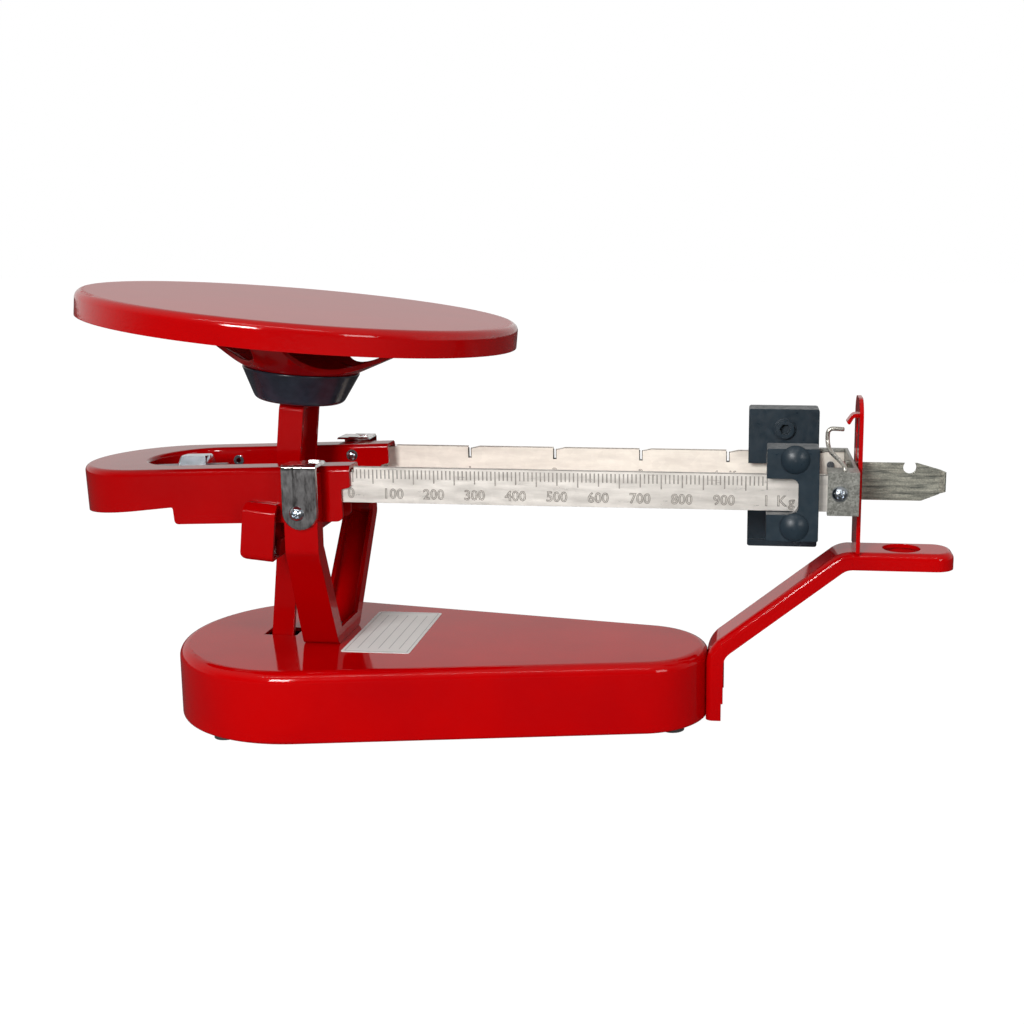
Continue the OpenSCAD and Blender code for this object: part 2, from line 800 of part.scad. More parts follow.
// Rounds the inner edge of the opening: the space above a fillet of radius f.
module opening_flare(r, f) {
    module section() {
        difference() {
            translate([r - eps, -f]) square([f + eps, f + eps]);
            translate([r + f, -f]) circle(r = f);
        }
    }
    translate([yoke_open_x, 0, 0]) rotate_extrude() section();
    both() translate([yoke_open_x, 0, 0]) rotate([90, 0, 90]) linear_extrude(far) section();
}

// The yoke's outline seen from the front, in its own frame.
yoke_side = [
    [yoke_round_x - yoke_half - 1, 1, 0],
    [yoke_round_x - yoke_half - 1, -yoke_nose_depth, 0],
    [yoke_open_x - 0.6, -yoke_neck_depth, 1],
    [yoke_open_x - 0.2, -yoke_depth, 2],
    [yoke_end_x - step_x, -yoke_depth, 3],
    [yoke_end_x - step_x, -step_z, 1],
    [yoke_end_x, -step_z + 1, 1],
    [yoke_end_x, 1, 0]
];

eyelet_x = -84;
eyelet_z = -7;
eyelet_r = 1.9;
rod_z = -6.4;
rod_r = 2.5;
rod_from = yoke_open_x - yoke_inner_r;

module yoke() color(red) {
    difference() {
        in_yoke() difference() {
            intersection() {
                difference() {
                    yoke_body(0);
                    yoke_opening(yoke_inner_r);
                    opening_flare(yoke_inner_r, yoke_edge_r - yoke_t / 2);
                    difference() {
                        translate([0, 0, -eps]) yoke_body(yoke_t);
                        yoke_opening(yoke_inner_r + yoke_t);
                    }
                }
                slab_xz(-far / 2, far) outline(yoke_side);
            }
            both() bar_y(eyelet_x, eyelet_z, yoke_inner_r - 1, yoke_t + 2, eyelet_r);
            bar_x(rod_from - 2 * yoke_t, 0, rod_z, 4 * yoke_t, rod_r);
        }
        place() both() {
            bar_y(fulcrum_x, fulcrum_z + pivot_r, 0, far / 4, pivot_r);
            bar_y(load_x, load_z - pivot_r, 0, far / 4, pivot_r);
        }
    }
}

pivot_proud = 1.4;
load_knife_len = 3.4;

// A pivot pin whose edge lies on the Y axis and points down: a round shank and a knife of length len.
module pivot_pin(len) {
    y0 = yoke_inner_r - pivot_proud;
    bar_y(0, pivot_r, y0, knife_from - y0, pivot_r);
    slab_xz(knife_from - eps, len) polygon([
        [0, 0], [pivot_r * 0.8, pivot_r * 1.6], [-pivot_r * 0.8, pivot_r * 1.6]
    ]);
}

module fulcrum_pivots() color(steel) place() {
    both() translate([fulcrum_x, 0, fulcrum_z]) pivot_pin(knife_len);
}

module load_pivots() color(steel) place() {
    both() translate([load_x, 0, load_z]) mirror([0, 0, 1]) pivot_pin(load_knife_len);
}

module arm_eyelets() color(steel) in_yoke() {
    both() difference() {
        union() {
            bar_y(eyelet_x, eyelet_z, yoke_inner_r - 0.6, 0.6, eyelet_r + 0.9);
            bar_y(eyelet_x, eyelet_z, yoke_inner_r - 0.6, yoke_t + 1.2, eyelet_r);
        }
        bar_y(eyelet_x, eyelet_z, yoke_inner_r - 1, far / 4, eyelet_r - 0.6);
    }
}

rod_to = -79;
nut_x = -103;
nut_len = 15;
nut_flats = 14;
nut_r = nut_flats / 2 / cos(30);

module balance_rod() color(steel) in_yoke() {
    bar_x(rod_from - yoke_t, 0, rod_z, rod_to - rod_from + yoke_t, rod_r);
    translate([rod_from - 3.4 - yoke_t, 0, rod_z]) rotate([0, 90, 0]) rotate([0, 0, 30]) cylinder(h = 3.4, r = 4.6, $fn = 6);
}

module balance_nut() color(zinc) in_yoke() {
    difference() {
        translate([nut_x, 0, rod_z]) rotate([0, 90, 0]) rotate([0, 0, 30]) cylinder(h = nut_len, r = nut_r, $fn = 6);
        bar_x(nut_x - 1, 0, rod_z, nut_len + 2, rod_r + pin_fit);
    }
}

// ---- beams ----

beam_start_x = yoke_end_x - 9.6;
tenon_x = 0.6;
beam_holes_x = 234;
beam_hole_z = (beam_low_z + front_beam_z) / 2;

// A beam's outline: full height along the open length, lower inside the yoke's arm.
module beam_outline(top) {
    under = yoke_z(beam_start_x) - yoke_edge_r / cos(yoke_slope);
    polygon([
        [beam_start_x, beam_low_z], [beam_end_x, beam_low_z], [beam_end_x, top],
        [tenon_x, top], [tenon_x, min(under, top)], [beam_start_x, min(under, top)]
    ]);
}

module front_beam() color(nickel) place() {
    difference() {
        slab_xz(-beam_face, beam_t) beam_outline(front_beam_z);
        bar_y(beam_holes_x, beam_hole_z, -beam_face - eps, beam_t + 2 * eps, screw_r);
    }
}

notch_count = 5;
notch_lead = 4.6;
notch_lead_drop = 1.1;

module rear_beam() color(nickel) place() {
    difference() {
        slab_xz(beam_face - beam_t, beam_t) difference() {
            beam_outline(rear_beam_z);
            for (i = [0:notch_count - 1]) {
                x = notch_first_x + i * notch_pitch - notch_w / 2;
                translate([x, rear_beam_z - notch_depth]) square([notch_w, notch_depth + 1]);
                polygon([
                    [x, rear_beam_z - notch_lead_drop], [x + notch_w, rear_beam_z - notch_lead_drop],
                    [x + notch_w + notch_lead, rear_beam_z + eps], [x, rear_beam_z + eps]
                ]);
            }
        }
        bar_y(beam_holes_x, beam_hole_z, beam_face - beam_t - eps, beam_t + 2 * eps, screw_r);
    }
}

// ---- end bracket, tongue and lock wire ----

bracket_t = 1.6;
bracket_x0 = 228.3;
bracket_face = beam_face + bracket_t;
bracket_flange = 13;
plate_x = beam_end_x + 0.2;
wire_x = 236.4;
wire_y = -35.5;
wire_r = 1.1;
wire_fit = 0.12;

module bracket_leg(y_sign, top, flange) {
    mirror([0, y_sign > 0 ? 1 : 0, 0]) {
        slab_xz(-bracket_face, bracket_t) difference() {
            translate([bracket_x0, beam_low_z - bracket_t])
                square([plate_x + bracket_t - bracket_x0, top - beam_low_z + 2 * bracket_t]);
            translate([beam_holes_x, beam_hole_z]) circle(r = screw_r + screw_fit);
        }
        translate([bracket_x0, -bracket_face, top]) cube([plate_x - bracket_x0 + bracket_t, flange, bracket_t]);
        translate([bracket_x0, -bracket_face, beam_low_z - bracket_t])
            cube([plate_x - bracket_x0 + bracket_t, 5, bracket_t]);
    }
}

module end_bracket() color(zinc) place() {
    difference() {
        union() {
            bracket_leg(-1, front_beam_z, bracket_flange);
            bracket_leg(1, rear_beam_z, 4.5);
            slab_yz(plate_x, bracket_t) difference() {
                polygon([
                    [-bracket_face, beam_low_z - bracket_t], [bracket_face, beam_low_z - bracket_t],
                    [bracket_face, rear_beam_z + bracket_t], [-bracket_face, front_beam_z + bracket_t]
                ]);
                translate([-tongue_t / 2 - pin_fit, tongue_low_z - pin_fit])
                    square([tongue_t + 2 * pin_fit, tongue_top_z - tongue_low_z + 2 * pin_fit]);
                for (z = rivet_z) translate([rivet_y, z]) circle(r = rivet_r);
            }
        }
        translate([wire_x, wire_y, front_beam_z - eps]) cylinder(h = bracket_t + 2 * eps, r = wire_r + wire_fit);
    }
}

module bracket_screws() color(zinc) place() {
    both() translate([beam_holes_x, bracket_face, beam_hole_z]) rotate([-90, 0, 0])
        pan_screw(3.9, 2.4, screw_r, bracket_t + beam_t + 1.4);
}

rivet_y = 7.5;
rivet_z = [119.5, 127.5];
rivet_r = 1.5;
notch_x = 270.7;
notch_z = 130.6;
notch_r = 3.25;
tip_x = 285.4;
tip_len = 3.2;
tip_turn = 30;
low_cut_x = 276.6;
top_cut_x = 274.4;
low_cut_rise = 3.6;
top_cut_drop = 3.1;

module pointer_tongue() color(zinc) place() {
    slab_xz(-tongue_t / 2, tongue_t) difference() {
        polygon([
            [plate_x - tongue_t, tongue_low_z], [low_cut_x, tongue_low_z], [tip_x, tongue_low_z + low_cut_rise],
            [tip_x, tongue_top_z - top_cut_drop], [top_cut_x, tongue_top_z], [plate_x - tongue_t, tongue_top_z]
        ]);
        translate([notch_x, notch_z]) circle(r = notch_r);
    }
    translate([tip_x, 0, 0]) rotate([0, 0, -tip_turn]) slab_xz(-tongue_t / 2, tongue_t) polygon([
        [-0.3, tongue_low_z + low_cut_rise], [tip_len, tongue_low_z + low_cut_rise + 1.2],
        [tip_len, tongue_top_z - top_cut_drop - 1.1], [-0.3, tongue_top_z - top_cut_drop]
    ]);
    slab_yz(plate_x - tongue_t, tongue_t) difference() {
        outline([
            [-tongue_t / 2, rivet_z[0] - 4, 0], [rivet_y + 4.5, rivet_z[0] - 4, 2],
            [rivet_y + 4.5, rivet_z[1] + 4, 2], [-tongue_t / 2, rivet_z[1] + 4, 0]
        ]);
        for (z = rivet_z) translate([rivet_y, z]) circle(r = rivet_r);
    }
}

module tongue_rivets() color(steel) place() {
    for (z = rivet_z) {
        bar_x(plate_x - tongue_t, rivet_y, z, tongue_t + bracket_t, rivet_r);
        translate([plate_x - tongue_t, rivet_y, z]) rotate([0, -90, 0]) pan_head(2.6, 1.2);
    }
}

// The wire: up through the bracket's flange, across, up again and over towards the guard.
wire_bend = 1.9;
wire_swell = 0.06;
wire_lap = 0.1;
wire_run_z = front_beam_z + bracket_t + wire_r + 0.4;
wire_inner_x = 229.9;
wire_inner_y = -1;
wire_top_z = 149.4;
wire_to_x = 238.2;

// A quarter bend at the origin: from straight up to along X.
module wire_over() {
    translate([wire_bend, 0, 0]) rotate([90, 0, 0]) rotate([0, 0, 90]) rotate_extrude(angle = 90)
        translate([wire_bend, 0]) circle(r = wire_r + wire_swell);
}

// A quarter bend at the origin: from along X to straight up.
module wire_up() {
    translate([0, 0, wire_bend]) rotate([90, 0, 0]) rotate([0, 0, 270]) rotate_extrude(angle = 90)
        translate([wire_bend, 0]) circle(r = wire_r + wire_swell);
}

module lock_wire() color(zinc) place() {
    step = [wire_inner_x - wire_x, wire_inner_y - wire_y];
    low = front_beam_z - 2.6;
    cut = wire_bend - wire_lap;
    translate([wire_x, wire_y, 0]) {
        translate([0, 0, low]) cylinder(h = wire_run_z - cut - low, r = wire_r);
        rotate([0, 0, atan2(step[1], step[0])]) translate([0, 0, wire_run_z - wire_bend]) {
            wire_over();
            bar_x(cut, 0, wire_bend, norm(step) - 2 * cut, wire_r);
            translate([norm(step) - wire_bend, 0, wire_bend]) wire_up();
        }
    }
    translate([wire_inner_x, wire_inner_y, 0]) {
        translate([0, 0, wire_run_z + cut])
            cylinder(h = wire_top_z - wire_run_z - 2 * cut, r = wire_r);
        translate([0, 0, wire_top_z - wire_bend]) wire_over();
        bar_x(cut, 0, wire_top_z, wire_to_x - wire_inner_x - cut, wire_r);
    }
}

// ---- poises ----

front_mid_y = -(beam_face - beam_t / 2);
rear_mid_y = beam_face - beam_t / 2;
front_poise_x = scale_len - 0.3;
front_window_top = front_beam_z - 0.8;
post_r = 3.6;

// The inner face of a poise's front block, towards its back plate, from the front beam's side.
poise_front_y = front_mid_y - poise_depth / 2;
poise_split_y = poise_front_y + poise_depth - poise_back_t;

module front_window() {
    outline([
        [front_poise_x - 1, beam_low_z - poise_gap, 0],
        [front_poise_x + front_poise_w - front_poise_post, beam_low_z - poise_gap, post_r],
        [front_poise_x + front_poise_w - front_poise_post, front_window_top, post_r],
        [front_poise_x - 1, front_window_top, 0]
    ]);
}

front_rivet_in = 11.2;
front_rivet_x = front_poise_x + front_poise_w - front_rivet_in;
front_rivets_z = [109.4, 141.4];
poise_rivet_r = 3;

module front_poise_face() color(navy) place() {
    difference() {
        slab_xz(poise_front_y, poise_split_y - poise_front_y) difference() {
            outline([
                [front_poise_x, front_poise_low, 0.8], [front_poise_x + front_poise_w, front_poise_low, 0.8],
                [front_poise_x + front_poise_w, front_poise_top, 0.8], [front_poise_x, front_poise_top, 0.8]
            ]);
            front_window();
            for (z = front_rivets_z) translate([front_rivet_x, z]) circle(r = poise_rivet_r);
        }
        translate([front_poise_x - 1, front_mid_y - beam_t / 2 - poise_gap, beam_low_z - poise_gap])
            cube([front_poise_w + 2, poise_depth, front_beam_z - beam_low_z + 2 * poise_gap]);
    }
}

module front_poise_back() color(navy) place() {
    slab_xz(poise_split_y, poise_back_t) difference() {
        outline([
            [front_poise_x, front_poise_low, 0.8], [front_poise_x + front_poise_w, front_poise_low, 0.8],
            [front_poise_x + front_poise_w, front_poise_top, 0.8], [front_poise_x, front_poise_top, 0.8]
        ]);
        for (z = front_rivets_z) translate([front_rivet_x, z]) circle(r = poise_rivet_r);
    }
}

module front_poise_rivets() color(navy) place() {
    for (z = front_rivets_z) {
        translate([front_rivet_x, poise_front_y, z]) rotate([90, 0, 0]) pan_head(dome_r, 2.8);
        bar_y(front_rivet_x, z, poise_front_y, poise_depth, poise_rivet_r);
    }
}

rear_front_y = rear_mid_y - poise_depth / 2;
rear_split_y = rear_front_y + poise_depth - poise_back_t;
rear_window_top = 125.9;
rear_post = 14;
rear_screw_x = 209.6;
rear_screw_z = 144.2;
rear_screw_r = 3;
rear_rivet_x = rear_poise_x + rear_poise_w / 2;
rear_rivet_z = 97;
recess_depth = 2;
recess_lip = 3.4;
blade_t = 1.2;
blade_room = 0.3;

module rear_outline() {
    outline([
        [rear_poise_x, rear_poise_low, 1.2], [rear_poise_x + rear_poise_w, rear_poise_low, 1.2],
        [rear_poise_x + rear_poise_w, rear_poise_top, 1.2], [rear_poise_x, rear_poise_top, 1.2]
    ]);
}

module rear_poise_face() color(navy) place() {
    difference() {
        slab_xz(rear_front_y, rear_split_y - rear_front_y) difference() {
            rear_outline();
            outline([
                [rear_poise_x - 1, beam_low_z - poise_gap, 0],
                [rear_poise_x + rear_poise_w - rear_post, beam_low_z - poise_gap, post_r],
                [rear_poise_x + rear_poise_w - rear_post, rear_window_top, post_r],
                [rear_poise_x - 1, rear_window_top, 0]
            ]);
            translate([rear_screw_x, rear_screw_z]) circle(r = rear_screw_r);
            translate([rear_rivet_x, rear_rivet_z]) circle(r = poise_rivet_r);
        }
        translate([rear_poise_x - 1, rear_mid_y - beam_t / 2 - poise_gap, beam_low_z - poise_gap])
            cube([rear_poise_w + 2, poise_depth, rear_beam_z - beam_low_z + 2 * poise_gap]);
        translate([rear_poise_x - 1, rear_front_y - 1, rear_poise_low + recess_lip])
            cube([rear_poise_w + 2, recess_depth + 1, beam_low_z - poise_gap - 3 - rear_poise_low - recess_lip]);
        translate([blade_x - blade_t / 2, rear_mid_y - 4.2, rear_beam_z])
            cube([blade_t, 8.4, 11]);
    }
}

module rear_poise_back() color(navy) place() {
    slab_xz(rear_split_y, poise_back_t) difference() {
        rear_outline();
        translate([rear_screw_x, rear_screw_z]) circle(r = rear_screw_r);
        translate([rear_rivet_x, rear_rivet_z]) circle(r = poise_rivet_r);
    }
}

module rear_poise_rivet() color(navy) place() {
    translate([rear_rivet_x, rear_front_y + recess_depth, rear_rivet_z]) rotate([90, 0, 0]) pan_head(dome_r, 2.8);
    bar_y(rear_rivet_x, rear_rivet_z, rear_front_y + recess_depth, poise_depth - recess_depth, poise_rivet_r);
}

module rear_poise_screw() color(navy) place() {
    difference() {
        union() {
            bar_y(rear_screw_x, rear_screw_z, rear_front_y - 0.5, 0.5, 5.8);
            bar_y(rear_screw_x, rear_screw_z, rear_front_y - 2.4, 2.4, 4.85);
            bar_y(rear_screw_x, rear_screw_z, rear_front_y, poise_depth, rear_screw_r);
        }
        translate([rear_screw_x, rear_front_y + 1, rear_screw_z]) rotate([90, 0, 0]) cylinder(h = 6, r = 2.9, $fn = 6);
    }
}

blade_x = notch_first_x + (notch_count - 1) * notch_pitch;

module rear_poise_blade() color(steel) place() {
    slab_yz(blade_x - blade_t / 2, blade_t) polygon([
        [rear_mid_y - 1.2, rear_beam_z + blade_room], [rear_mid_y + 1.2, rear_beam_z + blade_room],
        [rear_split_y, rear_beam_z + 2], [rear_split_y, rear_beam_z + 11],
        [rear_mid_y - 4.2, rear_beam_z + 11], [rear_mid_y - 4.2, rear_beam_z + 2]
    ]);
}

// ---- platform support, in its own leaning frame ----

frame_t = 1.8;
housing_w = 16.3;
housing_face = knife_from + 6.1;
housing_low = -22.8;
housing_top = 5.6;
housing_x0 = -8.6;
stem_x = 0.6;
frame_rail_h = 9.5;

// Outlines of a housing in Y and Z: the outside and the hollow.
function housing_outer(y0) = [
    [y0, housing_low, 0], [housing_face, housing_low, 3], [housing_face, housing_top - 3.8, 1.5],
    [housing_face - 3.4, housing_top, 1], [y0, housing_top, 0]
];
function housing_inner(y0) = [
    [y0, housing_low + frame_t, 0], [housing_face - frame_t, housing_low + frame_t, 1],
    [housing_face - frame_t, housing_top - 4.6, 0], [housing_face - 4.2, housing_top - frame_t, 0],
    [y0, housing_top - frame_t, 0]
];
housing_open_y = knife_from + 0.3;
right_rail_x = housing_x0 + housing_w - frame_t;

module load_frame() color(red) in_support() {
    both() intersection() {
        union() {
            slab_yz(housing_x0, housing_w) difference() {
                outline(housing_outer(-1));
                outline(housing_inner(-2));
                translate([-2, housing_low + frame_t]) square([housing_open_y + 2, far]);
            }
            slab_yz(housing_x0, frame_t) outline(housing_outer(housing_open_y));
            slab_yz(housing_x0, frame_t) translate([-1, housing_low]) square([knife_from + 2, frame_rail_h]);
            slab_yz(right_rail_x, frame_t) translate([strap_half + 1, housing_low])
                square([knife_from - 5 - strap_half, frame_rail_h]);
        }
        slab_xz(-1, far) outline([
            [housing_x0, housing_low, 4], [housing_x0 + housing_w, housing_low, 1],
            [housing_x0 + housing_w, housing_top, 1.5], [housing_x0, housing_top, 2]
        ]);
    }
}

load_bearing_w = 9;

module load_bearings() color(steel) in_support() {
    y0 = knife_from + 0.4;
    both() intersection() {
        mirror([0, 0, 1]) v_block(load_bearing_w, 2.4, housing_top - frame_t, y0, housing_face - frame_t - y0);
        slab_yz(-far / 2, far) outline(housing_inner(0));
    }
}

strap_top = cup_s;
strap_bend = 3;

module stem_strap() color(red) in_support() {
    floor_s = housing_low + frame_t;
    difference() {
        slab_yz(stem_x - strap_w / 2, strap_w) difference() {
            outline([
                [-strap_half, floor_s, 0], [strap_half, floor_s, 0],
                [strap_half, strap_top, strap_bend + 1], [-strap_half, strap_top, strap_bend + 1]
            ]);
            outline([
                [-strap_half + strap_t, floor_s - 1, 0], [strap_half - strap_t, floor_s - 1, 0],
                [strap_half - strap_t, strap_top - strap_t, strap_bend], [-strap_half + strap_t, strap_top - strap_t, strap_bend]
            ]);
        }
        translate([stem_x, 0, strap_top - 2 * strap_t]) cylinder(h = 4 * strap_t, r = cup_screw_r + screw_fit);
    }
}

module stem_tail() color(red) in_support() {
    difference() {
        slab_xz(tail_y, tail_t) outline([
            [-tail_w / 2, -stem_tail_len - 5, 5], [tail_w / 2, -stem_tail_len - 5, 5],
            [tail_w / 2, housing_low, 0], [-tail_w / 2, housing_low, 0]
        ]);
        bar_y(0, -stem_tail_len, tail_y - eps, tail_t + 2 * eps, check_pin_r + pin_fit);
    }
}

cup_screw_r = 3;
cup_wall = 3;
peg_r = 6;
peg_len = 9;
cup_edge_r = 4;

module stem_cup() color(black) in_support() {
    slope = (cup_top_r - cup_low_r) / cup_h;
    translate([stem_x, 0, cup_s]) difference() {
        rotate_extrude($fn = 72) outline([
            [0, 0, 0], [cup_low_r, 0, cup_edge_r], [cup_top_r, cup_h, 0.6], [cup_top_r - cup_wall, cup_h, 0.4],
            [cup_top_r - cup_wall - slope * (cup_h - cup_wall), cup_wall, 1.5], [peg_r + 3, cup_wall, 0],
            [peg_r + 3, cup_h - 1, 0], [0, cup_h - 1, 0]
        ]);
        translate([0, 0, -eps]) cylinder(h = far, r = cup_screw_r + screw_fit);
        translate([0, 0, cup_h - 1 - peg_len]) cylinder(h = far, r = peg_r + pin_fit);
    }
}

module cup_screw() color(steel) in_support() {
    translate([stem_x, 0, strap_top - strap_t]) mirror([0, 0, 1]) pan_screw(5, 2.6, cup_screw_r, strap_t + 5.6);
}

// ---- platform ----

spider_t = 2;
spider_s = cup_s + cup_h + 0.1;
spider_hub_r = cup_top_r - 1.2;
spider_pitch = 26;
spider_foot_r = 82;
spider_foot_w = 8;
scallop_r = 48;
scallop_at = 79;
under_plate = plate_s - plate_t;

module platform_spider() color(red) in_support() {
    rise = under_plate - spider_t - spider_s;
    run = rise / tan(spider_pitch);
    end_r = min(spider_hub_r + run, spider_foot_r);
    translate([stem_x, 0, 0]) difference() {
        union() {
            rotate_extrude($fn = 72) polygon([
                [0, spider_s], [spider_hub_r, spider_s], [end_r, under_plate - spider_t],
                [end_r + spider_foot_w, under_plate - spider_t], [end_r + spider_foot_w, under_plate],
                [end_r - spider_t / 2, under_plate], [spider_hub_r - spider_t / 2, spider_s + spider_t], [0, spider_s + spider_t]
            ]);
            translate([0, 0, spider_s - peg_len]) cylinder(h = peg_len, r = peg_r);
        }
        for (a = [45:90:315]) rotate([0, 0, a]) translate([scallop_at, 0, spider_s - 1])
            cylinder(h = far, r = scallop_r);
    }
}

module platform_plate() color(red) in_support() {
    translate([stem_x, 0, plate_s - plate_rim_h]) difference() {
        rotate_extrude($fn = 96) edge_section(plate_r, plate_rim_h, plate_edge_r, 0);
        translate([0, 0, -eps]) rotate_extrude($fn = 96)
            edge_section(plate_r - plate_t, plate_rim_h - plate_t + eps, plate_edge_r - plate_t, 0);
    }
}

// ---- what is drawn ----

base_housing();
rubber_feet();
blank_label();
stand();
stand_screws();
fulcrum_bearings();
front_bearing_cap();
rear_bearing_cap();
cap_screws();
check_anchor();
anchor_pin();
guard_arm();
arm_bolts();
guard_plate();
yoke();
fulcrum_pivots();
load_pivots();
arm_eyelets();
balance_rod();
balance_nut();
front_beam();
rear_beam();
end_bracket();
bracket_screws();
pointer_tongue();
tongue_rivets();
lock_wire();
front_poise_face();
front_poise_back();
front_poise_rivets();
rear_poise_face();
rear_poise_back();
rear_poise_rivet();
rear_poise_screw();
rear_poise_blade();
load_frame();
load_bearings();
stem_strap();
stem_tail();
stem_cup();
cup_screw();
check_link();
tail_pin();
platform_spider();
platform_plate();
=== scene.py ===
"""Dresses the counter scale: camera, studio, finishes and the fine pieces that the solids leave out.

Lengths are millimetres in the beams' own axes: X from the front beam's zero mark, Y from the middle
plane towards the rear beam, Z up from the rim of the base. stored() moves them to the stored frame.
"""

import json
import logging
import math
from dataclasses import dataclass
from enum import Enum

import bmesh
import bpy
import numpy as np
from mathutils import Matrix

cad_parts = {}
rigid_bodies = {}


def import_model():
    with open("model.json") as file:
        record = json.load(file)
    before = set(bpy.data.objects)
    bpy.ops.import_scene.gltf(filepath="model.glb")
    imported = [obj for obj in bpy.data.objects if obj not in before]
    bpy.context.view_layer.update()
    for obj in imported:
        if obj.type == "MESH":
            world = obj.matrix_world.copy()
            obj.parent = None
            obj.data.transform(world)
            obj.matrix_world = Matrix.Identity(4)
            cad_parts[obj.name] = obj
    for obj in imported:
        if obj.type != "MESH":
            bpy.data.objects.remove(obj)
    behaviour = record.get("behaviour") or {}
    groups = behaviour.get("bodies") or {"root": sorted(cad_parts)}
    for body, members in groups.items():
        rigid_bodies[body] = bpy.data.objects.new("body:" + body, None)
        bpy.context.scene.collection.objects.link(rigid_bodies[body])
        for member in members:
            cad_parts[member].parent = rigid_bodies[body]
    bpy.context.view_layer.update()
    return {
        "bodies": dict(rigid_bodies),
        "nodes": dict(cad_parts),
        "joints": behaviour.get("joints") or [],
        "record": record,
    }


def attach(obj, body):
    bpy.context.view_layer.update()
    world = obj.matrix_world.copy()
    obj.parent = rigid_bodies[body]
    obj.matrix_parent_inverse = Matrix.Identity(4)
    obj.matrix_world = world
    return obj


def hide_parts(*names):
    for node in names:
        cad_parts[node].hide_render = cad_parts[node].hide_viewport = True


LOG = logging.getLogger("counter_scale")

MILLIMETRE = 0.001
MID_X = 71.2133
FOOT_DROP = 2.0
WELD_GAP = 2e-6
SHARP_DEGREES = 38
BEVEL_SAMPLES = 4
MIX_COLOURS = (0, 6, 7)  # sockets of a mix of colours: its share, first and second
MIXED_COLOUR = 2
IMAGE_SIDE = 1024

Colour = tuple[float, float, float]
Point = tuple[float, float, float]
Pair = tuple[float, float]
Socket = bpy.types.NodeSocket
Tree = bpy.types.NodeTree


class Body(Enum):
    """The moving bodies that new pieces ride on."""

    BASE = "base"
    BEAM = "beam"
    NUT = "nut"
    WIRE = "wire"


class Slot(Enum):
    """The record's material slots."""

    RED = "painted_red"
    CAST = "dark_cast"
    ZINC = "zinc_sheet"
    SCREW = "bright_screw"
    STEEL = "plain_steel"
    SCALE = "scale_metal"
    LABEL = "label_stock"


def stored(points: np.ndarray) -> np.ndarray:
    """Moves points from the beams' axes in millimetres to the stored frame in metres.

    Args:
        points: Array whose last axis is X, Y, Z in millimetres.

    Returns:
        The same points, shifted so that the outline's middle is at X = 0, times 0.001.
    """
    return (np.asarray(points, float) - np.array([MID_X, 0.0, -FOOT_DROP])) * MILLIMETRE


# ---- finishes ----


def node(tree: Tree, kind: str, inputs: dict[str | int, object], **settings: str | int) -> bpy.types.NodeOutputs:
    """Adds a node to a tree.

    Args:
        tree: The tree.
        kind: The node's type.
        inputs: What goes into its sockets, by name or number: another node's socket is linked, a value is set.
        settings: The node's own settings.

    Returns:
        The node's outputs.
    """
    made = tree.nodes.new(kind)
    for name, value in settings.items():
        setattr(made, name, value)
    for name, value in inputs.items():
        if isinstance(value, Socket):
            tree.links.new(value, made.inputs[name])
        else:
            made.inputs[name].default_value = value
    return made.outputs


def ranged(
    tree: Tree, value: Socket, low: float, high: float, to_low: float, to_high: float, curve: str = "LINEAR"
) -> Socket:
    """Maps low..high of a value to to_low..to_high along a curve, and holds it there."""
    limits = {"Value": value, "From Min": low, "From Max": high, "To Min": to_low, "To Max": to_high}
    return node(tree, "ShaderNodeMapRange", limits, interpolation_type=curve)["Result"]


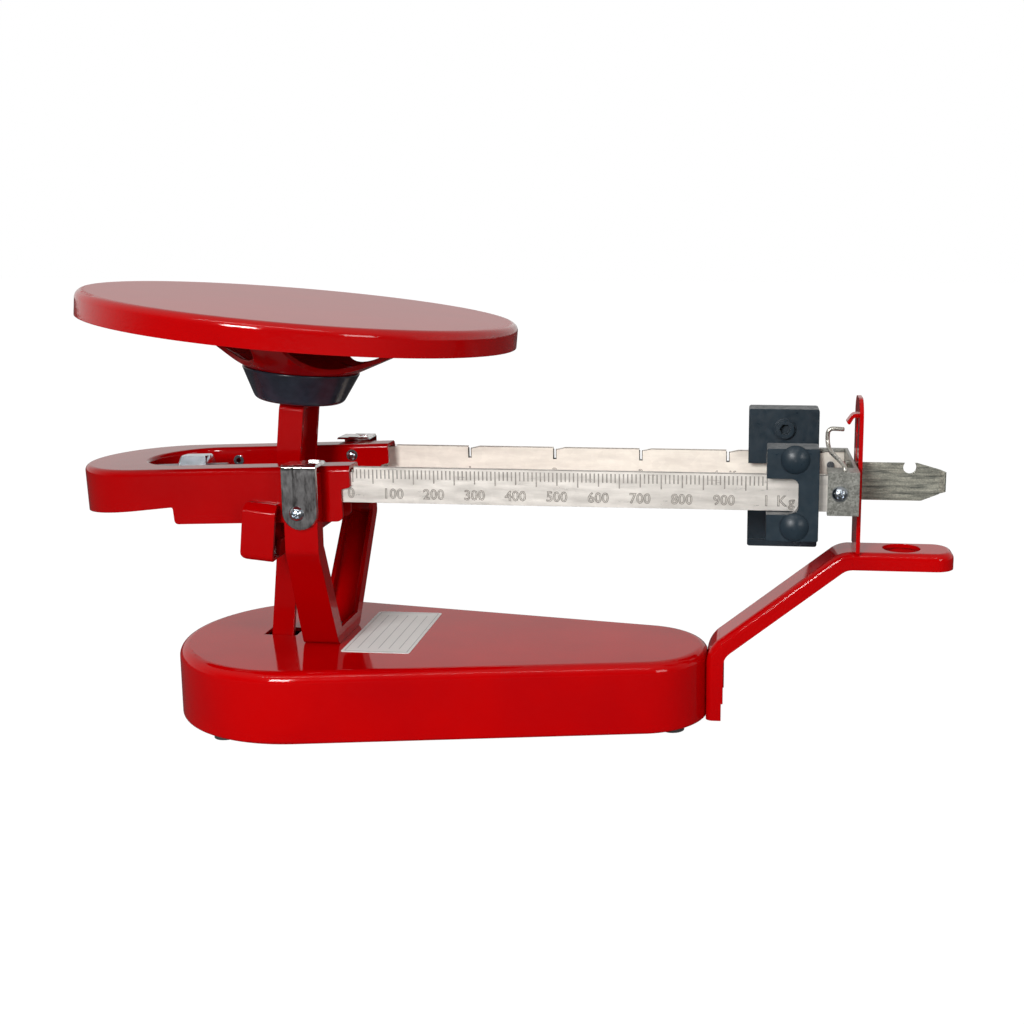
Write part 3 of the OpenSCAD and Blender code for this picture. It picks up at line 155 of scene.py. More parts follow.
class NodeSheet:
    """The node tree of one finish, put together step by step on Object coordinates."""

    def __init__(self, name: str) -> None:
        """Starts a material with one principled shader.

        Args:
            name: The material's name.
        """
        self.material = bpy.data.materials.new(name)
        self.material.use_nodes = True
        self.tree = self.material.node_tree
        self.tree.nodes.clear()
        self.shader = self.tree.nodes.new("ShaderNodeBsdfPrincipled")
        node(self.tree, "ShaderNodeOutputMaterial", {"Surface": self.shader.outputs["BSDF"]})
        self.place = node(self.tree, "ShaderNodeTexCoord", {})["Object"]

    def constant(self, **values: float) -> None:
        """Sets plain values on the shader's own sockets; an underscore stands for a space."""
        for name, value in values.items():
            self.shader.inputs[name.replace("_", " ")].default_value = value

    def colour_by(self, share: Socket, first: Colour | Socket, second: Colour) -> None:
        """Colours the surface from the first colour to the second as share goes from 0 to 1."""
        self.tree.links.new(self.blend(share, first, second), self.shader.inputs["Base Color"])

    def gloss_by(self, value: Socket, glossy: float, dull: float, low: float = 0.3, high: float = 0.7) -> None:
        """Sets the roughness, from glossy to dull as the value goes from low to high."""
        self.tree.links.new(self.levels(value, low, high, glossy, dull), self.shader.inputs["Roughness"])

    def stretched(self, stretch: Point) -> Socket:
        """Object coordinates, each axis divided by its stretch, so that a pattern is drawn out along it."""
        scale = tuple(1.0 / s for s in stretch)
        return node(self.tree, "ShaderNodeMapping", {"Vector": self.place, "Scale": scale})["Vector"]

    def cloud(self, size: float, detail: float = 3.0, rough: float = 0.5, stretch: Point = (1, 1, 1)) -> Socket:
        """Soft noise from 0 to 1: patches size millimetres wide, and detail finer layers, each rough strong."""
        look = {"Scale": 1.0 / (size * MILLIMETRE), "Detail": detail, "Roughness": rough}
        return node(self.tree, "ShaderNodeTexNoise", {"Vector": self.stretched(stretch), **look})["Fac"]

    def grains(self, size: float) -> Socket:
        """Crystals size millimetres wide, each in a grey of its own."""
        cells = node(self.tree, "ShaderNodeTexVoronoi", {"Vector": self.place, "Scale": 1.0 / (size * MILLIMETRE)})
        return node(self.tree, "ShaderNodeRGBToBW", {"Color": cells["Color"]})["Val"]

    def levels(self, value: Socket, low: float, high: float, to_low: float, to_high: float) -> Socket:
        """Maps low..high to to_low..to_high and holds it there."""
        return ranged(self.tree, value, low, high, to_low, to_high)

    def along(self, axis: Point) -> Socket:
        """How far the place lies along an axis through the origin, in metres."""
        return node(self.tree, "ShaderNodeVectorMath", {0: self.place, 1: axis}, operation="DOT_PRODUCT")["Value"]

    def product(self, first: Socket, second: Socket) -> Socket:
        """One value times another."""
        return node(self.tree, "ShaderNodeMath", {0: first, 1: second}, operation="MULTIPLY")["Value"]

    def blend(self, share: Socket, first: Colour | Socket, second: Colour) -> Socket:
        """Goes from the first colour to the second as share goes from 0 to 1."""
        ends = [colour if isinstance(colour, Socket) else (*colour, 1.0) for colour in (first, second)]
        return node(self.tree, "ShaderNodeMix", dict(zip(MIX_COLOURS, (share, *ends))), data_type="RGBA")[MIXED_COLOUR]

    def relief(self, *layers: tuple[Socket, float], edge: float = 0.0) -> None:
        """Gives the surface its small bumps.

        Args:
            layers: Pairs of a height from 0 to 1 and its depth in millimetres.
            edge: Radius in millimetres to which sharp edges look rounded.
        """
        under = {}
        if edge > 0:
            rounding = {"Radius": edge * MILLIMETRE}
            under = {"Normal": node(self.tree, "ShaderNodeBevel", rounding, samples=BEVEL_SAMPLES)["Normal"]}
        for height, depth in layers:
            bump = {"Height": height, "Distance": depth * MILLIMETRE, **under}
            under = {"Normal": node(self.tree, "ShaderNodeBump", bump)["Normal"]}
        self.tree.links.new(under["Normal"], self.shader.inputs["Normal"])


@dataclass(frozen=True)
class Finish:
    """A named surface; each kind of finish says how it is painted."""

    name: str
    colour: Colour
    slot: Slot

    def paint(self, sheet: NodeSheet) -> None:
        """Builds the pattern on the sheet."""
        raise NotImplementedError

    def material(self) -> bpy.types.Material:
        """Makes the material the first time, and finds it after that.

        Returns:
            The finished material.
        """
        found = bpy.data.materials.get(self.name)
        if found is not None:
            return found
        sheet = NodeSheet(self.name)
        self.paint(sheet)
        return sheet.material


@dataclass(frozen=True)
class GlossPaint(Finish):
    """Thick gloss paint on sheet steel, with orange peel."""

    shade: Colour = (0.30, 0.0, 0.002)
    drift_size: float = 38.0
    roughness: float = 0.10
    patch_size: float = 9.0
    peel_size: float = 2.6
    peel_depth: float = 0.010
    wave_size: float = 14.0
    wave_depth: float = 0.03
    edge: float = 0.6
    ior: float = 1.35

    def paint(self, sheet: NodeSheet) -> None:
        """Colour drifts slowly between two reds, gloss varies in patches, and two noises ripple the skin.

        Args:
            sheet: The sheet to paint.
        """
        drift = sheet.levels(sheet.cloud(self.drift_size, 2.0), 0.3, 0.7, 0.0, 0.35)
        sheet.colour_by(drift, self.colour, self.shade)
        sheet.gloss_by(sheet.cloud(self.patch_size, 4.0), self.roughness * 0.8, self.roughness * 1.25, low=0.35)
        sheet.constant(IOR=self.ior)
        wave, peel = sheet.cloud(self.wave_size, 1.0), sheet.cloud(self.peel_size, 2.0)
        sheet.relief((wave, self.wave_depth), (peel, self.peel_depth), edge=self.edge)


@dataclass(frozen=True)
class PlatePaint(Finish):
    """The platform's paint: a fine satin top, worn smooth, and a glossy rim with orange peel."""

    axis: Point = (0.09932, 0.0, 0.995056)
    top: float = 199.86
    change: Pair = (-0.25, -0.05)
    drift_size: float = 30.0
    shade: Colour = (0.30, 0.0, 0.001)
    satin: float = 0.30
    gloss: float = 0.07
    fine_size: float = 0.35
    fine_depth: float = 0.0012
    peel_size: float = 1.5
    peel_depth: float = 0.05
    edge: float = 0.4
    haze: float = 0.12
    haze_roughness: float = 0.3
    ior: float = 1.5

    def paint(self, sheet: NodeSheet) -> None:
        """The height along the plate's axis tells the flat top from its rounded edge and rim.

        Args:
            sheet: The sheet to paint.
        """
        low, high = ((self.top + away) * MILLIMETRE for away in self.change)
        flat = sheet.levels(sheet.along(self.axis), low, high, 0.0, 1.0)
        rim = sheet.levels(flat, 0.0, 1.0, 1.0, 0.0)
        drift = sheet.levels(sheet.cloud(self.drift_size, 2.0), 0.3, 0.7, 0.0, 0.3)
        sheet.colour_by(drift, self.colour, self.shade)
        sheet.gloss_by(flat, self.gloss, self.satin, low=0.0, high=1.0)
        sheet.constant(IOR=self.ior, Sheen_Weight=self.haze, Sheen_Roughness=self.haze_roughness)
        peel = sheet.product(sheet.cloud(self.peel_size, 2.0), rim)
        sheet.relief((sheet.cloud(self.fine_size, 1.0), self.fine_depth), (peel, self.peel_depth), edge=self.edge)


@dataclass(frozen=True)
class CastPaint(Finish):
    """Satin paint on a block, with a fine cast grain under it."""

    roughness: float = 0.34
    patch_size: float = 11.0
    gloss_size: float = 3.0
    lump_size: float = 7.0
    grain_size: float = 0.8
    grain_depth: float = 0.02
    edge: float = 0.5
    ior: float = 1.45

    def paint(self, sheet: NodeSheet) -> None:
        """Two close greys in patches, gloss by patches, and a fine grain over lumps three times as deep.

        Args:
            sheet: The sheet to paint.
        """
        pale = tuple(min(1.0, c * 1.5 + 0.004) for c in self.colour)
        patches = sheet.levels(sheet.cloud(self.patch_size, 4.0, 0.6), 0.35, 0.75, 0.0, 0.7)
        sheet.colour_by(patches, self.colour, pale)
        sheet.gloss_by(sheet.cloud(self.gloss_size, 4.0), self.roughness * 0.8, self.roughness * 1.3)
        sheet.constant(IOR=self.ior)
        lumps, grain = sheet.cloud(self.lump_size, 2.0), sheet.cloud(self.grain_size, 3.0)
        sheet.relief((lumps, self.grain_depth * 3), (grain, self.grain_depth), edge=self.edge)


@dataclass(frozen=True)
class SheetMetal(Finish):
    """Plated or bare sheet metal with crystals, stains and a rolling direction."""

    shade: Colour = (0.5, 0.5, 0.5)
    metallic: float = 1.0
    roughness: float = 0.3
    gloss_size: float = 2.4
    grain_size: float = 1.2
    grain_share: float = 0.5
    stain_size: float = 16.0
    stain_share: float = 0.4
    stretch: Point = (1, 1, 1)
    scratch_size: float = 0.35
    scratch_depth: float = 0.008
    dent_size: float = 8.0
    dent_depth: float = 0.05
    edge: float = 0.3

    def paint(self, sheet: NodeSheet) -> None:
        """Crystals and stains mix two tones; long fine noise along the rolling direction scratches it.

        Args:
            sheet: The sheet to paint.
        """
        crystals = sheet.levels(sheet.grains(self.grain_size), 0.2, 0.8, 0.0, self.grain_share)
        tone = sheet.blend(crystals, self.colour, self.shade)
        stains = sheet.levels(sheet.cloud(self.stain_size, 5.0, 0.6, self.stretch), 0.42, 0.72, 0.0, self.stain_share)
        sheet.colour_by(stains, tone, self.shade)
        patches = sheet.cloud(self.gloss_size, 4.0, 0.6, self.stretch)
        sheet.gloss_by(patches, self.roughness * 0.75, self.roughness * 1.4)
        sheet.constant(Metallic=self.metallic)
        drawn = tuple(s * s for s in self.stretch)
        dents, scratches = sheet.cloud(self.dent_size, 1.0), sheet.cloud(self.scratch_size, 3.0, 0.6, drawn)
        sheet.relief((dents, self.dent_depth), (scratches, self.scratch_depth), edge=self.edge)


@dataclass(frozen=True)
class Moulded(Finish):
    """Moulded plastic or rubber."""

    roughness: float = 0.3
    mottle_size: float = 6.0
    gloss_size: float = 4.0
    texture_size: float = 1.0
    texture_depth: float = 0.01
    streak_depth: float = 0.0
    edge: float = 0.3

    def paint(self, sheet: NodeSheet) -> None:
        """A faint mottle, with upright flow streaks where the moulding shows them.

        Args:
            sheet: The sheet to paint.
        """
        pale = tuple(min(1.0, c * 1.7 + 0.003) for c in self.colour)
        mottle = sheet.levels(sheet.cloud(self.mottle_size, 3.0), 0.4, 0.7, 0.0, 0.5)
        sheet.colour_by(mottle, self.colour, pale)
        sheet.gloss_by(sheet.cloud(self.gloss_size, 3.0), self.roughness * 0.8, self.roughness * 1.3)
        layers = [(sheet.cloud(self.texture_size, 3.0), self.texture_depth)]
        if self.streak_depth > 0:
            layers.insert(0, (sheet.cloud(self.mottle_size, 1.0, 0.5, (1, 1, 6)), self.streak_depth))
        sheet.relief(*layers, edge=self.edge)


@dataclass(frozen=True)
class PaperLabel(Finish):
    """A satin label, faintly yellowed and not quite flat."""

    aging: Colour = (0.90, 0.88, 0.82)
    patch_size: float = 18.0
    gloss_size: float = 5.0
    roughness: Pair = (0.35, 0.5)
    wave_size: float = 16.0
    wave_depth: float = 0.10
    fibre_size: float = 0.3
    fibre_depth: float = 0.004

    def paint(self, sheet: NodeSheet) -> None:
        """Pale stock with yellowing in patches and shallow waves.

        Args:
            sheet: The sheet to paint.
        """
        aged = tuple(c * k for c, k in zip(self.colour, self.aging))
        patches = sheet.levels(sheet.cloud(self.patch_size, 5.0, 0.65), 0.4, 0.75, 0.0, 0.9)
        sheet.colour_by(patches, self.colour, aged)
        sheet.gloss_by(sheet.cloud(self.gloss_size, 3.0), *self.roughness)
        wave, fibre = sheet.cloud(self.wave_size, 1.0), sheet.cloud(self.fibre_size, 2.0)
        sheet.relief((wave, self.wave_depth), (fibre, self.fibre_depth))


ENAMEL = GlossPaint("red_enamel", (0.48, 0.0, 0.0005), Slot.RED, roughness=0.08, wave_depth=0.02)
# A darker copy of the red enamel: painted shade for the yoke, stand, stem and load parts, which get less light than
# the base.
SHADED_ENAMEL = GlossPaint("shaded_red_enamel", (0.36, 0.0, 0.0005), Slot.RED, shade=(0.24, 0.0, 0.001), roughness=0.09)
PLATE_ENAMEL = PlatePaint("plate_enamel", (0.40, 0.0, 0.0005), Slot.RED)
CAST = CastPaint("navy_cast_paint", (0.011, 0.021, 0.030), Slot.CAST)
BEAM_METAL = SheetMetal(
    "beam_nickel", (0.88, 0.83, 0.77), Slot.SCALE, shade=(0.54, 0.51, 0.47), metallic=0.45, roughness=0.34,
    grain_size=3.0, grain_share=0.15, stain_size=5.6, stain_share=0.75, stretch=(6, 1, 1), dent_depth=0.03,
    scratch_depth=0.002,
)
REAR_METAL = SheetMetal(
    "rear_beam_nickel", (0.93, 0.87, 0.77), Slot.SCALE, shade=(0.62, 0.56, 0.49), metallic=0.15, roughness=0.42,
    grain_size=3.0, grain_share=0.15, stain_size=7.0, stain_share=0.6, stretch=(5, 1, 1), dent_depth=0.02,
)
BRACKET_ZINC = SheetMetal(
    "bracket_zinc", (0.42, 0.42, 0.38), Slot.ZINC, shade=(0.20, 0.20, 0.18), metallic=0.6, roughness=0.36,
    grain_size=0.8, grain_share=0.9, stain_size=5.0, stain_share=0.5,
)
TONGUE_ZINC = SheetMetal(
    "tongue_zinc", (0.60, 0.59, 0.49), Slot.ZINC, shade=(0.10, 0.11, 0.10), metallic=0.6, roughness=0.30,
    grain_size=0.5, grain_share=0.45, stain_size=1.3, stain_share=1.0, stretch=(10, 1, 1), scratch_depth=0.02,
)
# The cap's strong dark and pale upright blotches are partly the zinc's own mottling and partly painted reflection.
CAP_ZINC = SheetMetal(
    "cap_zinc", (0.86, 0.84, 0.84), Slot.ZINC, shade=(0.20, 0.18, 0.18), roughness=0.10,
    grain_size=0.5, grain_share=0.15, stain_size=2.8, stain_share=1.0, stretch=(0.6, 1, 2.2), dent_depth=0.3,
    scratch_depth=0.02, edge=0.15,
)
# Flat dark matt: painted shade inside the rear beam's notches and in the gaps round the pivot pins.
RECESS_SHADE = Moulded("painted_recess_shade", (0.03, 0.026, 0.024), Slot.STEEL, roughness=0.6)
BRIGHT_ZINC = SheetMetal(
    "bright_zinc", (0.66, 0.70, 0.74), Slot.SCREW, shade=(0.42, 0.47, 0.55), roughness=0.16,
    grain_size=0.6, grain_share=0.4, stain_size=2.5, stain_share=0.5, dent_depth=0.02, edge=0.2,
)
WIRE_ZINC = SheetMetal(
    "wire_zinc", (0.62, 0.60, 0.54), Slot.ZINC, shade=(0.36, 0.35, 0.31), metallic=0.8, roughness=0.28,
    grain_size=0.8, grain_share=0.5, stain_size=4.0, stain_share=0.5, dent_depth=0.02, edge=0.2,
)
PLAIN_STEEL = SheetMetal(
    "plain_steel", (0.46, 0.46, 0.46), Slot.STEEL, shade=(0.26, 0.25, 0.24), metallic=0.9, roughness=0.34,
    grain_size=1.0, grain_share=0.4, stain_size=5.0, stain_share=0.6, dent_depth=0.02,
)
# Dark grey for the front beam's marks: painted shade of the pressed ticks.
MARK_SHADE = SheetMetal(
    "stamped_shadow", (0.36, 0.33, 0.30), Slot.SCALE, shade=(0.22, 0.20, 0.18), metallic=0.3, roughness=0.5,
    grain_size=2.0, grain_share=0.7, stain_size=7.0, stain_share=0.8, edge=0.0,
)
# Darker grey for the figures' outlines and the beams' top edge lines: painted shade along those edges.
FIGURE_SHADOW = SheetMetal(
    "figure_shadow", (0.34, 0.31, 0.28), Slot.SCALE, shade=(0.20, 0.18, 0.16), metallic=0.3, roughness=0.5,
    grain_size=1.0, grain_share=0.7, stain_size=7.0, stain_share=0.8, edge=0.0,
)
CUP_PLASTIC = Moulded(
    "cup_plastic", (0.020, 0.024, 0.036), Slot.CAST, roughness=0.2, texture_size=1.4, streak_depth=0.10
)
FOOT_RUBBER = Moulded(
    "foot_rubber", (0.016, 0.016, 0.017), Slot.CAST, roughness=0.65, texture_size=0.6, texture_depth=0.03
)
LABEL = PaperLabel("label_stock", (0.66, 0.64, 0.60), Slot.LABEL)
LABEL_INK = Moulded("label_ink", (0.20, 0.20, 0.21), Slot.LABEL, roughness=0.5)

NODE_FINISHES: dict[Finish, tuple[str, ...]] = {
    ENAMEL: ("base_housing", "guard_arm", "guard_plate"),
    SHADED_ENAMEL: ("yoke", "stand", "load_frame", "stem_strap", "stem_tail", "platform_spider"),
    PLATE_ENAMEL: ("platform_plate",),
    CAST: (
        "front_poise_face", "front_poise_back", "front_poise_rivets", "rear_poise_face", "rear_poise_back",
        "rear_poise_rivet", "rear_poise_screw",
    ),
    BEAM_METAL: ("front_beam",),
    REAR_METAL: ("rear_beam",),
    BRACKET_ZINC: ("end_bracket",),
    TONGUE_ZINC: ("pointer_tongue",),
    CAP_ZINC: ("front_bearing_cap", "rear_bearing_cap"),
    BRIGHT_ZINC: ("cap_screws", "bracket_screws", "balance_nut", "fulcrum_pivots", "load_pivots", "arm_eyelets"),
    WIRE_ZINC: ("lock_wire",),
    PLAIN_STEEL: (
        "stand_screws", "fulcrum_bearings", "check_anchor", "anchor_pin", "arm_bolts", "balance_rod",
        "tongue_rivets", "rear_poise_blade", "load_bearings", "cup_screw", "check_link", "tail_pin",
    ),
    CUP_PLASTIC: ("stem_cup",),
    FOOT_RUBBER: ("rubber_feet",),
    LABEL: ("blank_label",),
}


# ---- shapes ----


@dataclass
class Shell:
    """Points in millimetres and the faces between them."""

    points: np.ndarray
    faces: list[tuple[int, ...]]

    def moved(self, origin: Point, out: Point = (0, 0, 1), along: Point = (1, 0, 0)) -> "Shell":
        """Turns the shell, then moves it.

        Args:
            origin: Where its own origin goes.
            out: The direction in which its Z points.
            along: The direction in which its X lies, as near as its Z lets it.

        Returns:
            The shell in its new place.
        """
        z = np.array(out, float) / np.linalg.norm(out)
        x = np.array(along, float) - np.dot(along, z) * z
        x /= np.linalg.norm(x)
        turn = np.stack([x, np.cross(z, x), z])
        return Shell(self.points @ turn + np.array(origin, float), self.faces)


def joined(shells: list[Shell]) -> Shell:
    """Puts several shells into one.

    Args:
        shells: The shells.

    Returns:
        One shell with all their points and faces.
    """
    faces: list[tuple[int, ...]] = []
    start = 0
    for shell in shells:
        faces += [tuple(i + start for i in face) for face in shell.faces]
        start += len(shell.points)
    return Shell(np.concatenate([shell.points for shell in shells]), faces)


def grid_shell(grid: np.ndarray, around: bool) -> Shell:
    """Makes a surface from a grid of points.

    Args:
        grid: Array of rows by columns by 3.
        around: Whether the last column meets the first.

    Returns:
        The shell, with one four-sided face between each four neighbours.
    """
    rows, columns = grid.shape[:2]
    span = columns if around else columns - 1
    i, j = np.meshgrid(np.arange(rows - 1), np.arange(span), indexing="ij")
    k = (j + 1) % columns
    faces = np.stack([i * columns + j, i * columns + k, (i + 1) * columns + k, (i + 1) * columns + j], axis=-1)
    return Shell(grid.reshape(-1, 3), [tuple(f) for f in faces.reshape(-1, 4).tolist()])


def closed_tube(rings: np.ndarray) -> Shell:
    """Makes a solid from rings of points, with one face over the first ring and one over the last.

    Args:
        rings: Array of rings by points by 3.

    Returns:
        The solid.
    """
    skin, count = grid_shell(rings, True), rings.shape[1]
    last = (len(rings) - 1) * count
    return Shell(skin.points, skin.faces + [tuple(range(count - 1, -1, -1)), tuple(range(last, last + count))])


def turned(profile: list[Pair], sides: int = 40) -> Shell:
    """Turns a profile round Z: x = r cos a, y = r sin a, z = height.

    Args:
        profile: Pairs of radius and height.
        sides: How many points go round.

    Returns:
        The surface, open where its profile is.
    """
    radius, height = np.array(profile, float).T
    angle = np.linspace(0, 2 * math.pi, sides, endpoint=False)
    x, y = np.outer(radius, np.cos(angle)), np.outer(radius, np.sin(angle))
    return grid_shell(np.stack([x, y, np.outer(height, np.ones(sides))], axis=-1), True)


def boxes(low: np.ndarray, high: np.ndarray) -> Shell:
    """Makes closed boxes.

    Args:
        low: Each box's lowest corner, n by 3.
        high: Each box's highest corner, n by 3.

    Returns:
        The boxes, each with eight points of its own.
    """
    corner = np.array([[0, 0, 0], [1, 0, 0], [1, 1, 0], [0, 1, 0], [0, 0, 1], [1, 0, 1], [1, 1, 1], [0, 1, 1]])
    sides = np.array([[0, 3, 2, 1], [4, 5, 6, 7], [0, 1, 5, 4], [1, 2, 6, 5], [2, 3, 7, 6], [3, 0, 4, 7]])
    points = low[:, None, :] + corner[None] * (high - low)[:, None, :]
    faces = sides[None] + 8 * np.arange(len(low))[:, None, None]
    return Shell(points.reshape(-1, 3), [tuple(f) for f in faces.reshape(-1, 4).tolist()])


def tube(path: np.ndarray, radius: float, sides: int = 14) -> Shell:
    """A round bar along a path: each ring is radius times (cos a, sin a) across the path's direction.

    Args:
        path: Points along the middle of the bar, n by 3.
        radius: Radius of the bar.
        sides: How many points each ring has.

    Returns:
        The closed bar, with a domed cap of three rings at each end.
    """
    along = np.gradient(path, axis=0)
    along /= np.linalg.norm(along, axis=1, keepdims=True)
    never_along = np.array([0.58, -0.58, 0.58])
    across = np.cross(never_along, along)
    across /= np.linalg.norm(across, axis=1, keepdims=True)
    over = np.cross(along, across)
    cap = np.array([0.0, 0.6, 0.9])
    reach = np.sqrt(1 - cap**2) * radius * 0.5
    first = path[0] - along[0] * reach[:, None]
    last = path[-1] + along[-1] * reach[::-1, None]
    middles = np.concatenate([first, path, last])
    radii = np.concatenate([cap, np.ones(len(path)), cap[::-1]]) * radius
    across = np.concatenate([np.repeat(across[:1], 3, 0), across, np.repeat(across[-1:], 3, 0)])
    over = np.concatenate([np.repeat(over[:1], 3, 0), over, np.repeat(over[-1:], 3, 0)])
    angle = np.linspace(0, 2 * math.pi, sides, endpoint=False)
    ring = np.cos(angle)[None, :, None] * across[:, None] + np.sin(angle)[None, :, None] * over[:, None]
    return grid_shell(middles[:, None] + radii[:, None, None] * ring, True)


def smooth_path(knots: tuple[Point, ...], steps: int = 8) -> np.ndarray:
    """Draws a curve through knots: between two of them it is the usual four-point cubic.

    Args:
        knots: Points that the curve goes through.
        steps: How many points it has from one knot to the next.

    Returns:
        The curve's points, n by 3.
    """
    p = np.array([knots[0], *knots, knots[-1]], float)
    t = np.linspace(0, 1, steps, endpoint=False)[None, :, None]
    a, b, c, d = (p[k : len(p) - 3 + k][:, None] for k in range(4))
    curve = 0.5 * (2 * b + (c - a) * t + (2 * a - 5 * b + 4 * c - d) * t**2 + (3 * b - a - 3 * c + d) * t**3)
    return np.concatenate([curve.reshape(-1, 3), p[-1:]])


def step(value: np.ndarray, low: float, high: float) -> np.ndarray:
    """Goes smoothly from 0 at low to 1 at high: 3t squared less 2t cubed."""
    t = np.clip((value - low) / (high - low), 0, 1)
    return t * t * (3 - 2 * t)


def add_piece(
    name: str, shell: Shell, body: Body, finish: Finish, replaced: tuple[str, ...] = (), flat: bool = False
) -> None:
    """Makes a shell into a finished piece of the scale.

    Args:
        name: The piece's name.
        shell: Its shape in millimetres.
        body: The body that it moves with.
        finish: Its surface.
        replaced: The solids that it stands for.
        flat: Whether its faces are shaded flat.
    """
    mesh = bpy.data.meshes.new(name)
    mesh.from_pydata(stored(shell.points).tolist(), [], shell.faces)
    work = bmesh.new()
    work.from_mesh(mesh)
    bmesh.ops.remove_doubles(work, verts=work.verts, dist=WELD_GAP)
    bmesh.ops.recalc_face_normals(work, faces=work.faces)
    work.to_mesh(mesh)
    work.free()
    mesh.polygons.foreach_set("use_smooth", np.full(len(mesh.polygons), not flat))
    mesh.materials.append(finish.material())
    made = bpy.data.objects.new(name, mesh)
    bpy.context.scene.collection.objects.link(made)
    if not flat:
        mesh.set_sharp_from_angle(angle=math.radians(SHARP_DEGREES))
    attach(made, body.value)
    if replaced:
        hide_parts(*replaced)
    LOG.info("%s: %d faces on %s", name, len(mesh.polygons), body.value)


# ---- studio ----


def put(name: str, data: bpy.types.ID, axes: list[np.ndarray], place: np.ndarray) -> bpy.types.Object:
    """Puts a camera or a lamp into the scene.

    Args:
        name: Its name.
        data: The camera or the lamp.
        axes: Where its own X, Y and Z point.
        place: Where it stands, in metres.

    Returns:
        The new object.
    """
    made = bpy.data.objects.new(name, data)
    frame = np.eye(4)
    frame[:3, :3] = np.stack(axes, axis=1)
    frame[:3, 3] = place
    made.matrix_world = Matrix(frame.tolist())
    bpy.context.scene.collection.objects.link(made)
    return made


@dataclass
class PhotoCamera:
    """The camera that took the picture, as solved from the scale's own outlines."""

    place: Point = (192.33, -654.74, 245.39)
    yaw: float = -0.0916
    pitch: float = 0.1714
    roll: float = -0.0012
    focal: float = 1320.40
    centre: Pair = (631.69, 460.44)
    sensor: float = 36.0

    def build(self) -> None:
        """Makes the camera: forward is (sin yaw cos pitch, cos yaw cos pitch, -sin pitch), and roll is about it."""
        level = math.cos(self.pitch)
        forward = np.array([math.sin(self.yaw) * level, math.cos(self.yaw) * level, -math.sin(self.pitch)])
        right = np.array([math.cos(self.yaw), -math.sin(self.yaw), 0.0])
        down = np.cross(forward, right)
        cos, sin = math.cos(self.roll), math.sin(self.roll)
        right, down = cos * right + sin * down, cos * down - sin * right
        lens = bpy.data.cameras.new("photo_camera")
        lens.sensor_width = self.sensor
        lens.lens = self.sensor * self.focal / IMAGE_SIDE
        lens.shift_x = (IMAGE_SIDE / 2 - self.centre[0]) / IMAGE_SIDE
        lens.shift_y = (self.centre[1] - IMAGE_SIDE / 2) / IMAGE_SIDE
        lens.clip_start = 0.01
        camera = put("photo_camera", lens, [right, -down, -forward], stored(self.place))
        bpy.context.scene.camera = camera


@dataclass
class SoftBox:
    """One lamp that faces the scale: square, or a strip when it has a height of its own."""

    name: str
    place: Point
    side: float
    power: float
    height: float = 0.0
    aim: Point = (0.0, 0.0, 0.1)
    upright: Point = (0.0, 0.02, 1.0)

    def build(self) -> None:
        """Makes the lamp; its -Z axis looks at the aim."""
        lamp = bpy.data.lights.new(self.name, "AREA")
        lamp.shape = "RECTANGLE"
        lamp.size = self.side
        lamp.size_y = self.height or self.side
        lamp.energy = self.power
        away = np.array(self.place) - np.array(self.aim)
        away /= np.linalg.norm(away)
        across = np.cross(self.upright, away)
        across /= np.linalg.norm(across)
        put(self.name, lamp, [across, np.cross(away, across), away], np.array(self.place))


